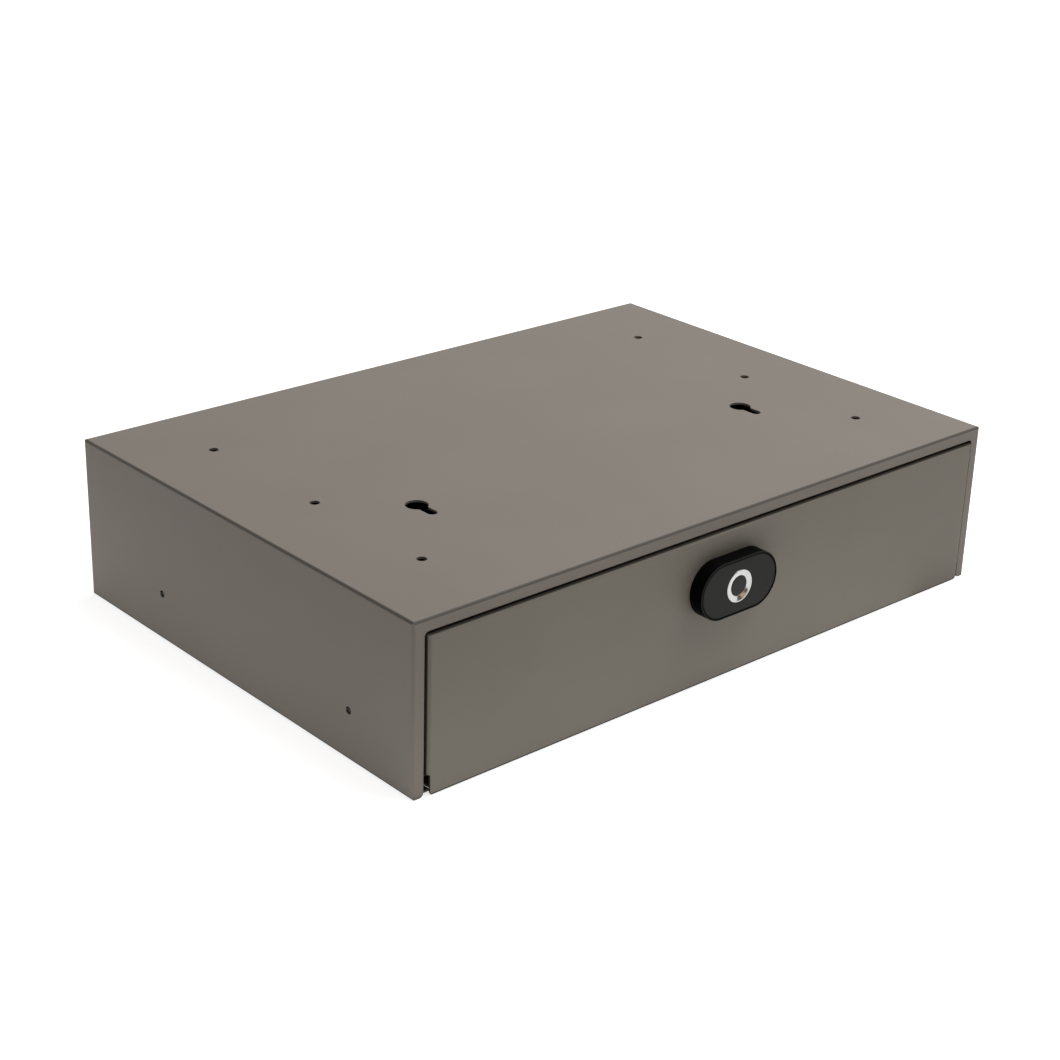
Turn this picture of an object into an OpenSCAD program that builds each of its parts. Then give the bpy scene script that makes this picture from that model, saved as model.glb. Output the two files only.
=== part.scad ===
// Under desk drawer safe: a folded steel cabinet that hangs under a desk, with a steel drawer on ball
// bearing slides and a fingerprint lock whose bolt rises behind the cabinet's front flange.
// +X runs along the drawer front, +Y to the rear and +Z up.
// The origin is at the middle of the whole part's base.

/* [Cabinet] */
// Width of the cabinet
case_w = 500; // [460:1:640]
// Depth of the cabinet, from its front flange to its rear face
case_d = 350; // [315:1:520]
// Height of the cabinet
case_h = 113; // [112:0.5:150]
// Thickness of the cabinet's sheet steel
sheet_t = 1.5; // [1.2:0.1:1.7]
// Outer radius of the cabinet's folds
fold_r = 2; // [2:0.1:3]
// Width of the flange round the drawer opening
flange_w = 8; // [7:0.5:10]
// Radius at the corners of the drawer opening and at the foot of the flange
flange_corner_r = 3; // [2:0.5:5]
// Width of the fold along the foot of each side
base_return_w = 15; // [12:0.5:18]
// Width of the fold round the rear panel
rear_return_w = 15; // [12:0.5:20]
// Radius at the lower rear corner of each side
rear_corner_r = 4; // [2:0.5:6]
// Width of the slit between two folds that meet
relief_w = 2; // [1:0.5:3]

/* [Desk fixings] */
// Radius of the plain screw holes in the top
desk_hole_r = 3.25; // [2:0.25:4]
// Distance from the side of the cabinet to the plain holes
desk_hole_inset = 57; // [40:1:80]
// Distance from the front flange to the front pair of holes
desk_hole_front = 64; // [50:1:90]
// Distance from the front flange to the middle pair of holes
desk_hole_middle = 170; // [150:1:200]
// Distance from the front flange to the rear pair of holes
desk_hole_rear = 282; // [250:1:300]
// Radius of the keyhole's round entry
keyhole_r = 7.5; // [6:0.5:9]
// Width of the keyhole's slot
keyhole_slot_w = 7; // [5:0.5:8]
// Distance between the centres of the keyhole's entry and of its slot's end
keyhole_run = 15; // [12:0.5:20]
// Distance from the side of the cabinet to the keyholes
keyhole_inset = 105; // [90:1:130]
// Distance from the front flange to the centre of the keyhole's entry
keyhole_front = 129; // [110:1:150]

/* [Slides] */
// Height of the slides' axis above the base
slide_z = 33.3; // [30:0.1:40]
// Height of a slide's outer member
slide_h = 45.7; // [44:0.1:50]
// Thickness of a closed slide
slide_t = 12.7; // [12.4:0.1:14]
// Distance from the front flange to the slides
slide_setback = 20; // [18:1:24]
// Distance from the slides' rear ends to the rear face
slide_rear_gap = 30; // [20:1:40]
// Thickness of the slides' steel strip
slide_gauge = 1.2; // [1:0.05:1.25]
// Gap between two neighbouring slide members or cages
slide_play = 0.4; // [0.35:0.05:0.45]
// Radius of the slides' balls
ball_r = 1.75; // [1.6:0.05:1.8]
// Gap round a ball in its groove
ball_play = 0.3; // [0.25:0.01:0.32]
// Distance from a ball's centre to the flange that it runs along
race_reach = 1.45; // [1.4:0.01:1.5]
// Width of the flat strip beside a ball groove
groove_land = 0.4; // [0.3:0.05:0.45]
// Thickness of a ball cage's strip
cage_t = 0.6; // [0.4:0.05:0.65]
// Length of a ball cage
cage_l = 75; // [60:1:90]
// Distance from the slide's front end to a closed slide's cages
cage_setback = 90; // [80:1:100]
// Distance between two balls of a row
ball_pitch = 14; // [10:0.5:15]
// Radius of the fixing holes in the cabinet's sides
side_hole_r = 2.5; // [2:0.1:3]
// Distance from the front flange to the front fixing hole of a side
side_hole_front = 60; // [50:1:70]
// Distance between the two fixing holes of a side
side_hole_pitch = 200; // [180:1:210]
// Thickness of the channel between each slide and the cabinet's side
bracket_t = 1.5; // [1:0.1:2]
// Depth of that channel, which brings the slide inside the flange
bracket_d = 6; // [5.8:0.1:8]
// Height of that channel
bracket_h = 40; // [30:1:44]

/* [Drawer] */
// Thickness of the drawer front's steel
front_t = 1.5; // [1.2:0.1:1.8]
// Outer radius of the drawer front's folds
front_fold_r = 2; // [1.9:0.1:3]
// Gap between the drawer front and the flange
front_gap = 2; // [1.5:0.1:3]
// Distance that the drawer front stands proud of the flange
front_proud = 2; // [1:0.1:2.5]
// Depth of the drawer front's folds
front_return_d = 18; // [14:0.5:19]
// Height at which the side folds of the drawer front stop
front_notch_h = 14; // [8:0.5:20]
// Radius at the drawer front's lower corners
front_corner_r = 3; // [2:0.5:5]
// Thickness of the tray's steel
tray_t = 1.2; // [1:0.1:1.5]
// Outer radius of the tray's folds
tray_fold_r = 2; // [1.8:0.1:3]
// Height of the underside of the tray above the base
tray_z = 3; // [2.5:0.5:5]
// Distance from the drawer front's top edge to the tray's rim
tray_drop = 11; // [9:0.5:14]
// Gap between the tray and the rear panel
tray_rear_gap = 7; // [6:0.5:12]
// Thickness of the soft liner on the tray's floor
liner_t = 3; // [2:0.5:5]
// Gap between the liner and the tray's folds
liner_gap = 0.3; // [0.2:0.1:1]
// Radius at the liner's corners
liner_corner_r = 2; // [1:0.5:8]

/* [Fingerprint lock, outside] */
// Length of the lock housing
lock_w = 68; // [66:0.5:76]
// Height of the lock housing
lock_h = 38.5; // [36:0.5:42]
// Distance from the drawer front to the lock's face, with its gasket
lock_depth = 11; // [10.8:0.1:13]
// Distance from the cabinet's top down to the middle of the lock
lock_drop = 45; // [43:0.5:47]
// Thickness of the gasket behind the housing
gasket_t = 0.6; // [0.4:0.1:0.8]
// Thickness of the housing's rim in front of its face plate
lock_rim = 1.3; // [1:0.1:2]
// Bevel round the housing's front edge
lock_bevel = 0.6; // [0.4:0.1:1]
// Thickness of the housing's walls
lock_wall = 2.5; // [2:0.1:3]
// Thickness of the housing's back
lock_back_t = 1.5; // [1.2:0.1:1.8]
// Thickness of the face plate
plate_t = 1.2; // [1:0.1:1.5]
// Distance that the face plate lies below the rim
plate_shy = 0.3; // [0.2:0.05:0.5]
// Outer radius of the sensor's ring
ring_r = 11; // [10:0.25:12]
// Radius of the sensor's pad
pad_r = 6.8; // [6:0.1:7.5]
// Distance that the pad lies below the housing's rim
pad_shy = 0.8; // [0.5:0.1:1]

/* [Lock case, inside] */
// Length of the lock case
box_w = 120; // [118:1:130]
// Height of the lock case
box_h = 56; // [56:0.5:60]
// Depth of the lock case, with its cover
box_d = 24; // [24:0.5:28]
// Thickness of the lock case's walls
box_t = 2; // [1.6:0.1:2.2]
// Gap between the drawer front's top fold and the lock case
box_top_gap = 3.5; // [2:0.5:5]
// Distance from the middle of the lock to the bolt
bolt_offset = 38; // [37:0.5:39]
// Width of the bolt
bolt_w = 16; // [14:0.5:17]
// Thickness of the bolt
bolt_t = 6; // [5:0.25:6.5]
// Distance that the drawn bolt lies below the drawer front's top
bolt_shy = 0.5; // [0.3:0.1:1]
// Distance that the bolt rises
bolt_throw = 8.5; // [7:0.25:8.5]
// Gap between the strike and the raised bolt
strike_gap = 0.7; // [0.5:0.1:1.2]
// Thickness of the strike
strike_t = 1.8; // [1.5:0.1:2]
// Width of the strike
strike_w = 44; // [36:1:60]
// Depth of the strike's fold against the cabinet's top
strike_d = 16; // [14:0.5:20]
// Gap round the bolt in its slots
bolt_play = 0.3; // [0.2:0.05:0.5]
// Pitch radius of the drive pinion
pinion_r = 5; // [4.8:0.1:5.2]
// Number of teeth on the drive pinion
pinion_teeth = 12; // [11:1:14]
// Backlash between the pinion and the bolt's rack
backlash = 0.35; // [0.25:0.05:0.5]
// Radius of a battery cell
cell_r = 5.25; // [5:0.05:5.3]
// Length of a battery cell
cell_l = 44.5; // [43:0.1:44.5]
// Distance between two cells
cell_pitch = 11.6; // [11.3:0.1:11.8]
// Number of battery cells
cell_count = 4; // [2:1:4]

/* [Hidden] */
$fn = 64;

// Overrun of a cut past the surface that it opens
cut = 1;

// Corners of a rectangle, each as the way from the corner into the rectangle
ALL_CORNERS = [[1, 1], [-1, 1], [-1, -1], [1, -1]];
TOP_CORNERS = [[-1, -1], [1, -1]];
BASE_CORNERS = [[1, 1], [-1, 1]];

// Planes of the cabinet, across and up
side_x = case_w / 2;
side_in_x = side_x - sheet_t;
top_in_z = case_h - sheet_t;
opening_x = side_x - flange_w;
opening_z = case_h - flange_w;

// Planes of the part, front to rear
flange_y = -(case_d - front_proud - lock_depth) / 2;
rear_y = flange_y + case_d;
face_y = flange_y - front_proud;
face_in_y = face_y + front_t;
lock_y = face_y - lock_depth;
panel_y = rear_y - sheet_t;
panel_in_y = panel_y - sheet_t;

// Planes of the drawer
front_x = opening_x - front_gap;
front_z = opening_z - front_gap;
tray_front_y = face_in_y;
tray_in_y = tray_front_y + tray_t;
tray_rear_y = panel_in_y - tray_rear_gap;
slide_x = side_in_x - bracket_d;
tray_x = slide_x - slide_t;
tray_rim_z = front_z - tray_drop;
floor_z = tray_z + tray_t;

// Slide section: u runs from the bracket towards the drawer and w up from the slide's axis
groove_r = ball_r + ball_play;
groove_half = sqrt(groove_r * groove_r - race_reach * race_reach);
u_cage_out = slide_gauge + slide_play;
u_middle = u_cage_out + cage_t + slide_play;
u_cage_in = u_middle + slide_gauge + slide_play;
u_inner_tip = u_cage_in + cage_t + slide_play;
u_inner = slide_t - slide_gauge;
u_middle_tip = u_inner - slide_play;
u_ball_out = u_middle + 2 * groove_land + groove_half;
u_ball_in = u_ball_out + 2 * groove_half + groove_land;
w_ball_out = slide_h / 2 - slide_gauge - race_reach;
w_middle = w_ball_out - race_reach;
w_ball_in = w_middle - slide_gauge - race_reach;
w_inner = w_ball_in - race_reach;
slide_y = flange_y + slide_setback;
slide_l = case_d - slide_setback - slide_rear_gap;
middle_end_gap = 5;
cage_y = slide_y + cage_setback;
cage_flange_over = 0.9;
balls_per_row = floor((cage_l - ball_pitch) / ball_pitch) + 1;
side_screw_ys = [flange_y + side_hole_front, flange_y + side_hole_front + side_hole_pitch];
drawer_screw_shift = 15;
drawer_screw_r = 2;
drawer_screw_head_r = 3.5;
drawer_screw_head_h = 1.8;
drawer_screw_stand = 1.5;
side_screw_play = 0.15;
side_screw_head_r = 4;
side_screw_shy = 0.6;

// Release lever in the hollow of the inner slide member
lever_setback = 120;
lever_y = slide_y + lever_setback;
lever_t = 2;
lever_web_gap = 1.4;
lever_u = u_inner - lever_t - lever_web_gap;
lever_h = 7;
lever_front_l = 34;
lever_rear_l = 16;
lever_pin_r = 2;
lever_pin_play = 0.05;
lever_side_gap = 0.3;
lever_head_r = 3;
lever_head_t = 1;
lever_eye_r = 4.5;
lever_tab_l = 9;
lever_tab_h = 10;

// Fasteners and buffers of the cabinet and the drawer
panel_screw_r = 2;
panel_screw_head_r = 3.75;
panel_screw_inset = 8;
panel_screw_stand = 2.5;
panel_side_shares = [0.25, 0.85];
panel_top_shares = [-0.6, 0, 0.6];
panel_return_d = 14;
panel_gap = 0.3;
bumper_r = 7;
bumper_tip_r = 5.5;
bumper_stem_r = 3.5;
bumper_gap = 0.3;
bumper_inset = 60;
bumper_z = 60;
stud_r = 2.5;
stud_inset_x = 50;
stud_low_z = 22;
stud_high_z = 76;
stud_stand = 5;
nut_r = 4.6;
nut_h = 3.2;
nut_flange_r = 5.4;
nut_flange_t = 0.9;
nut_play = 0.1;
drive_share = 0.45;
drive_deep_share = 0.6;

// Lock housing and what it holds
lock_z = case_h - lock_drop;
housing_y = face_y - gasket_t;
plate_y = lock_y + plate_shy;
plate_play = 0.1;
recess_y = plate_y + plate_t;
board_t = 1.2;
board_inset = 3.5;
board_gap = 3;
board_front_y = recess_y + board_gap;
board_back_y = board_front_y + board_t;
boss_x = 22;
boss_r = 3.5;
boss_hole_r = 2;
wire_hole_r = 5;
ring_play = 0.1;
ring_bevel = 0.8;
ring_crown = 1.2;
ring_collar = 1;
ring_collar_t = 0.8;
pad_play = 0.12;
sensor_can_r = 9;
usb_w = 9.6;
usb_t = 3.1;
usb_l = 8;
usb_mouth_w = 8.4;
usb_mouth_t = 2.4;
usb_mouth_l = 5;
usb_play = 0.2;
gasket_inset = 0.5;
housing_screw_r = 1.95;
housing_screw_shy = 0.4;
housing_screw_head_r = 3.4;
housing_screw_head_h = 2.4;
housing_screw_hole_r = 2.2;

// Lock case and what it holds
box_y = tray_in_y;
box_top_z = front_z - front_t - box_top_gap;
box_base_z = box_top_z - box_h;
box_rear_y = box_y + box_d;
box_rim_y = box_rear_y - box_t;
box_floor_y = box_y + box_t;
wall_x = 6;
wall_in_x = wall_x + box_t;
bolt_x = -bolt_offset;
bolt_y = flange_y + sheet_t + strike_t + strike_gap;
bolt_rear_y = bolt_y + bolt_t;
bolt_top_z = front_z - bolt_shy;
bolt_foot_gap = 4;
bolt_foot_z = box_base_z + box_t + bolt_foot_gap;
bolt_lead = 1;
guide_t = 2;
module_pitch = 2 * pinion_r / pinion_teeth;
tooth_pitch = PI * module_pitch;
tooth_tip_share = 0.9;
tooth_root_share = 1.15;
tooth_tan = tan(20);
tooth_tip = module_pitch * tooth_tip_share;
tooth_root = module_pitch * tooth_root_share;
tooth_half = (tooth_pitch / 2 - backlash) / 2;
rack_line_y = bolt_rear_y - tooth_tip;
pinion_y = rack_line_y + pinion_r;
pinion_drop = 8;
pinion_z = lock_z - pinion_drop;
pinion_w = 7;
shaft_r = 1.5;
shaft_gap = 0.4;
rack_above = 1;
rack_below = 5;
rack_side = 1;
root_flare_share = 0.6;
motor_gap = 1;
motor_x = bolt_x + bolt_w / 2 + guide_t + bolt_play + motor_gap;
motor_gear_l = 9;
motor_l = 15;
motor_h = 12;
motor_d = 10;
motor_cap_l = 1.4;
motor_cap_r = 2.4;
board_past_bolt = 16;
board_wall_gap = 2;
board_rise = 3.5;
board_drop = 9.5;
board_cover_gap = 3.6;
main_board_t = 1.6;
main_board_x = [bolt_x - board_past_bolt, wall_x - board_wall_gap];
main_board_z = [lock_z + board_rise, box_top_z - board_drop];
main_board_rear_y = box_rim_y - board_cover_gap;
main_board_front_y = main_board_rear_y - main_board_t;
chip = [10, 10];
chip_place = [12, 4];
chip_t = 1.4;
relay = [12, 7];
relay_t = 2.6;
relay_gap = 1;
plug_over = 1;
plug_h = 4;
plug_t = 1.8;
post_r = 2.2;
post_inset = 2.6;
button_x = -10;
button_drop = 8;
button_z = main_board_z[1] - button_drop;
button_r = 2;
button_flange_r = 3;
button_flange_t = 0.8;
button_travel = 0.8;
button_play = 0.25;
button_proud = 0.8;
switch_w = 6;
switch_gap = 0.15;
switch_t = board_cover_gap - button_play - button_flange_t - button_travel - switch_gap;
cover_boss_r = 2.6;
cover_boss_inset = 4;
cover_screw_r = 1.2;
cover_screw_head_r = 2.4;
cover_screw_head_h = 0.6;
cover_screw_l = 9;
cover_gap = 0.25;
case_screw_r = 1.9;
case_screw_head_r = 3.4;
case_screw_head_h = 2;
case_screw_inset = 7;
case_screw_xs = [box_w / 2 - case_screw_inset, -(box_w / 2 - case_screw_inset)];
ribbon_w = 8;
ribbon_t = 0.5;

// Battery bay
holder_gap = 0.3;
holder_floor_t = 4;
holder_end_t = 1.4;
holder_x = [wall_in_x + holder_gap, box_w / 2 - box_t - holder_gap];
bay_mid_z = (box_base_z + box_top_z) / 2;
cells_h = (cell_count - 1) * cell_pitch;
cell_play = 0.3;
cell_y = box_floor_y + holder_floor_t + cell_play + cell_r;
cell_x = (holder_x[0] + holder_x[1]) / 2;
cell_nub_r = 1.9;
cell_nub_l = 0.8;
contact_t = 0.35;
contact_w = 7;
lip_d = 2.4;
lip_t = 1.2;
lip_toe = 0.8;
lip_gap = 0.3;
groove_deep = 1.2;
lead_t = 0.8;
lead_w = 3;
lead_y = cell_y + cell_r;
lead_z = bay_mid_z + cells_h / 2 - lead_w;
grip_count = 5;
grip_pitch = 2.4;
grip_w = 1;
grip_h = 14;
grip_deep = 0.5;
grip_inset = 8;

// A box between two corners
module block(low, high) { translate(low) cube(high - low); }

// A shape drawn in Y and Z, drawn out along X
module along_x(x0, x1) { translate([x0, 0, 0]) rotate([90, 0, 90]) linear_extrude(x1 - x0) children(); }

// A shape drawn in X and Z, drawn out along Y
module along_y(y0, y1) { translate([0, y1, 0]) rotate([90, 0, 0]) linear_extrude(y1 - y0) children(); }

// A shape drawn in X and Y, drawn out along Z
module along_z(z0, z1) { translate([0, 0, z0]) linear_extrude(z1 - z0) children(); }

// A flat rectangle between two corners
module panel_2d(low, high) { translate(low) square(high - low); }

// A flat disc
module disc_2d(middle, r) { translate(middle) circle(r); }

// What a round corner takes off: at is the sharp corner, and way points from it into the shape
module corner_2d(at, way, r) {
    low = [min(at[0] - way[0] * cut, at[0] + way[0] * r), min(at[1] - way[1] * cut, at[1] + way[1] * r)];
    difference() {
        translate(low) square(r + cut);
        disc_2d(at + way * r, r);
    }
}

// A rectangle with the listed corners rounded
module rounded_2d(low, high, r, ways) {
    difference() {
        panel_2d(low, high);
        for (way = ways) corner_2d([way[0] > 0 ? low[0] : high[0], way[1] > 0 ? low[1] : high[1]], way, r);
    }
}

// An upright stadium round the middle of the lock, drawn in X and Z
module stadium_2d(w, h) {
    panel_2d([-(w - h) / 2, lock_z - h / 2], [(w - h) / 2, lock_z + h / 2]);
    for (side = [-1, 1]) disc_2d([side * (w - h) / 2, lock_z], h / 2);
}

// A screw along +Z: its head stands on the plane z = 0 and its shank goes down from it
module screw(r, shank, head_r, head_h) {
    translate([0, 0, -shank]) cylinder(r = r, h = shank + head_h / 4);
    difference() {
        cylinder(r = head_r, h = head_h);
        translate([0, 0, head_h * (1 - drive_deep_share)])
            cylinder(r = head_r * drive_share, h = head_h, $fn = 6);
    }
}

// A countersunk screw along +Z: its flat head ends at z = 0
module flush_screw(r, shank, head_r) {
    difference() {
        union() {
            translate([0, 0, -shank]) cylinder(r = r, h = shank);
            translate([0, 0, r - head_r]) cylinder(r1 = r, r2 = head_r, h = head_r - r);
        }
        translate([0, 0, -r * drive_deep_share]) cylinder(r = r * drive_deep_share, h = r, $fn = 6);
    }
}

// Turns what points along +Z to point along +Y, -Y or +X
module to_rear() { rotate([-90, 0, 0]) children(); }
module to_front() { rotate([90, 0, 0]) children(); }
module to_right() { rotate([0, 90, 0]) children(); }

// A piece on the right, or its mirror image on the left
module hand(side) { mirror([side < 0 ? 1 : 0, 0, 0]) children(); }

// Cabinet

module folded_block(inset, r, base) {
    intersection() {
        along_y(flange_y + inset, rear_y - inset)
            rounded_2d([-side_x + inset, base], [side_x - inset, case_h - inset], r, ALL_CORNERS);
        along_x(-side_x, side_x)
            rounded_2d([flange_y + inset, base], [rear_y - inset, case_h - inset], r, TOP_CORNERS);
        along_z(0, case_h)
            rounded_2d([-side_x + inset, flange_y + inset], [side_x - inset, rear_y - inset], r, ALL_CORNERS);
    }
}

module desk_holes_2d() {
    for (side = [-1, 1]) {
        for (reach = [desk_hole_front, desk_hole_middle, desk_hole_rear])
            disc_2d([side * (side_x - desk_hole_inset), flange_y + reach], desk_hole_r);
        keyhole_x = side * (side_x - keyhole_inset);
        keyhole_y = flange_y + keyhole_front;
        disc_2d([keyhole_x, keyhole_y], keyhole_r);
        panel_2d(
            [keyhole_x - keyhole_slot_w / 2, keyhole_y - keyhole_run],
            [keyhole_x + keyhole_slot_w / 2, keyhole_y]
        );
        disc_2d([keyhole_x, keyhole_y - keyhole_run], keyhole_slot_w / 2);
    }
}

module cabinet_shell() {
    color("#7b746c") difference() {
        folded_block(0, fold_r, 0);
        folded_block(sheet_t, fold_r - sheet_t, sheet_t);
        along_y(flange_y - cut, flange_y + sheet_t + cut) {
            rounded_2d([-opening_x, -cut], [opening_x, opening_z], flange_corner_r, TOP_CORNERS);
            for (side = [-1, 1]) corner_2d([side * opening_x, 0], [side, 1], flange_corner_r);
        }
        along_z(-cut, sheet_t + cut) {
            panel_2d([-(side_x - base_return_w), flange_y - cut], [side_x - base_return_w, rear_y + cut]);
            for (side = [-1, 1], y = [flange_y + sheet_t, rear_y - sheet_t - relief_w])
                translate([side * (side_x - fold_r - base_return_w / 2) - base_return_w / 2, y])
                    square([base_return_w, relief_w]);
        }
        along_y(rear_y - sheet_t - cut, rear_y + cut)
            panel_2d([-(side_x - rear_return_w), -cut], [side_x - rear_return_w, case_h - rear_return_w]);
        along_x(-side_x - cut, side_x + cut) corner_2d([rear_y, 0], [-1, 1], rear_corner_r);
        along_z(top_in_z - cut, case_h + cut) desk_holes_2d();
        for (y = side_screw_ys) along_x(-side_x - cut, side_x + cut) disc_2d([y, slide_z], side_hole_r);
        for (at = panel_screw_places()) translate([at[0], rear_y, at[1]]) to_rear() panel_screw_hole();
    }
}

function panel_screw_places() = [
    for (side = [-1, 1], share = panel_side_shares) [side * (side_x - panel_screw_inset), case_h * share],
    for (share = panel_top_shares) [side_x * share, case_h - panel_screw_inset]
];

module panel_screw_hole() {
    translate([0, 0, -2 * sheet_t - cut]) cylinder(r = panel_screw_r, h = 2 * sheet_t + cut);
    translate([0, 0, panel_screw_r - panel_screw_head_r])
        cylinder(r1 = panel_screw_r, r2 = panel_screw_head_r, h = panel_screw_head_r - panel_screw_r);
}

module rear_panel() {
    panel_x = side_x - fold_r - panel_gap;
    color("#6f6961") difference() {
        union() {
            along_y(panel_in_y, panel_y)
                panel_2d([-panel_x, fold_r], [panel_x, case_h - fold_r - panel_gap]);
            along_x(-(side_x - base_return_w) + panel_gap, side_x - base_return_w - panel_gap) difference() {
                rounded_2d([panel_y - panel_return_d, 0], [panel_y, fold_r + sheet_t], fold_r, [[-1, 1]]);
                panel_2d([panel_y - panel_return_d - cut, sheet_t], [panel_in_y, fold_r + sheet_t + cut]);
            }
        }
        for (at = panel_screw_places()) translate([at[0], rear_y, at[1]]) to_rear() panel_screw_hole();
        along_y(panel_in_y - cut, panel_y + cut) for (at = bumper_places()) disc_2d(at, bumper_stem_r);
    }
}

module rear_panel_screws() {
    color("#3b3936") for (at = panel_screw_places()) translate([at[0], rear_y, at[1]]) to_rear()
        flush_screw(panel_screw_r, 2 * sheet_t + panel_screw_stand, panel_screw_head_r);
}

function bumper_places() = [for (side = [-1, 1]) [side * (tray_x - bumper_inset), bumper_z]];

module drawer_bumpers() {
    color("#1c1c1c") for (at = bumper_places()) translate([at[0], panel_in_y, at[1]]) to_front() {
        cylinder(r1 = bumper_r, r2 = bumper_tip_r, h = tray_rear_gap - bumper_gap);
        translate([0, 0, -sheet_t]) cylinder(r = bumper_stem_r, h = sheet_t + bumper_gap);
    }
}

module strike_plate() {
    strike_y = flange_y + sheet_t;
    fold_in_r = fold_r - sheet_t;
    color("#8d8b87") difference() {
        along_x(bolt_x - strike_w / 2, bolt_x + strike_w / 2) polygon([
            [strike_y, opening_z],
            [strike_y + strike_t, opening_z],
            [strike_y + strike_t, top_in_z - strike_t],
            [strike_y + strike_d, top_in_z - strike_t],
            [strike_y + strike_d, top_in_z],
            [strike_y + fold_in_r, top_in_z],
            [strike_y, top_in_z - fold_in_r]
        ]);
        block(
            [bolt_x - bolt_w / 2 - strike_gap, strike_y + strike_t, opening_z - cut],
            [bolt_x + bolt_w / 2 + strike_gap, bolt_rear_y + strike_gap, case_h]
        );
    }
}

// Slides

module slide_section() { translate([slide_x, slide_z]) mirror([1, 0]) children(); }

module channel_2d(u0, u1, half, web_last) {
    web_u = web_last ? u0 - cut : u0 + slide_gauge;
    difference() {
        panel_2d([u0, -half], [u1, half]);
        panel_2d([web_u, -half + slide_gauge], [web_last ? u1 - slide_gauge : u1 + cut, half - slide_gauge]);
    }
}

module grooves_2d(u, w) { for (side = [-1, 1]) disc_2d([u, side * w], groove_r); }

// Screw through a slide's web at each side fixing hole, towards the cabinet
module at_side_screws() {
    for (y = side_screw_ys)
        translate([slide_x - slide_gauge, y, slide_z]) mirror([1, 0, 0]) to_right() children();
}

module countersink(r, head_r, through) {
    translate([0, 0, r - head_r]) cylinder(r1 = r, r2 = head_r, h = head_r - r);
    translate([0, 0, -through - cut]) cylinder(r = r, h = through + cut);
}

module slide_outer(side) {
    color("#b4b6b8") hand(side) difference() {
        along_y(slide_y, slide_y + slide_l) slide_section() difference() {
            channel_2d(0, u_middle_tip, slide_h / 2, false);
            grooves_2d(u_ball_out, w_ball_out);
        }
        at_side_screws() countersink(side_hole_r, side_screw_head_r, slide_gauge);
    }
}

module slide_bracket(side) {
    color("#5d5954") hand(side) difference() {
        block(
            [slide_x, slide_y, slide_z - bracket_h / 2],
            [side_in_x, slide_y + slide_l, slide_z + bracket_h / 2]
        );
        block(
            [slide_x + bracket_t, slide_y - cut, slide_z - bracket_h / 2 + bracket_t],
            [side_in_x + cut, slide_y + slide_l + cut, slide_z + bracket_h / 2 - bracket_t]
        );
        at_side_screws() countersink(side_hole_r, side_screw_head_r, slide_gauge + bracket_t);
    }
}

module cabinet_slide_screws() {
    color("#191919") for (side = [-1, 1]) hand(side) at_side_screws() flush_screw(
        side_hole_r - side_screw_play,
        slide_gauge + bracket_d + sheet_t - side_screw_shy,
        side_screw_head_r - side_screw_play
    );
}

module slide_middle(side) {
    color("#a9abad") hand(side) difference() {
        along_y(slide_y, slide_y + slide_l - middle_end_gap) slide_section() difference() {
            channel_2d(u_middle, u_middle_tip, w_middle, false);
            grooves_2d(u_ball_out, w_ball_out);
            grooves_2d(u_ball_in, w_ball_in);
        }
        along_x(slide_x - u_cage_in, slide_x)
            for (y = side_screw_ys) disc_2d([y, slide_z], side_screw_head_r);
    }
}

// Lever pin, along the slide's width from the inner member's web
module lever_pin(u0, u1, r) {
    along_x(slide_x - u1, slide_x - u0) disc_2d([lever_y, slide_z], r);
}

module slide_inner(side) {
    color("#b4b6b8") hand(side) {
        difference() {
            along_y(slide_y, slide_y + slide_l) slide_section() difference() {
                channel_2d(u_inner_tip, slide_t, w_inner, true);
                grooves_2d(u_ball_in, w_ball_in);
            }
            along_x(slide_x - slide_t - cut, slide_x - u_inner + cut)
                for (y = side_screw_ys) disc_2d([y + drawer_screw_shift, slide_z], drawer_screw_r);
        }
        lever_pin(lever_u - lever_side_gap, u_inner, lever_pin_r);
        lever_pin(lever_u - lever_side_gap - lever_head_t, lever_u - lever_side_gap, lever_head_r);
    }
}

module cage(side, u0, u1, u_ball, w_ball) {
    hand(side) difference() {
        along_y(cage_y, cage_y + cage_l) slide_section() difference() {
            panel_2d([u0, -w_ball - cage_t / 2], [u1, w_ball + cage_t / 2]);
            panel_2d([u0 + cage_t, -w_ball + cage_t / 2], [u1 + cut, w_ball - cage_t / 2]);
        }
        for (i = [0 : balls_per_row - 1]) along_z(slide_z - slide_h, slide_z + slide_h)
            disc_2d([slide_x - u_ball, ball_y(i)], groove_r);
    }
}

function ball_y(i) = cage_y + cage_l / 2 + (i - (balls_per_row - 1) / 2) * ball_pitch;

module balls(side, u_ball, w_ball) {
    hand(side) for (i = [0 : balls_per_row - 1], way = [-1, 1])
        translate([slide_x - u_ball, ball_y(i), slide_z + way * w_ball]) sphere(ball_r);
}

module cage_outer(side) {
    color("#8c8e90") cage(side, u_cage_out, u_ball_out + groove_r + cage_flange_over, u_ball_out, w_ball_out);
}

module cage_inner(side) {
    color("#8c8e90") cage(side, u_cage_in, u_ball_in + groove_r + groove_land, u_ball_in, w_ball_in);
}

module balls_outer(side) { color("#d9dadb") balls(side, u_ball_out, w_ball_out); }

module balls_inner(side) { color("#d9dadb") balls(side, u_ball_in, w_ball_in); }

module drawer_slide_screws() {
    color("#55575a") for (side = [-1, 1], y = side_screw_ys)
        hand(side) translate([slide_x - u_inner, y + drawer_screw_shift, slide_z]) to_right() screw(
            drawer_screw_r,
            slide_gauge + tray_t + drawer_screw_stand,
            drawer_screw_head_r,
            drawer_screw_head_h
        );
}

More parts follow.
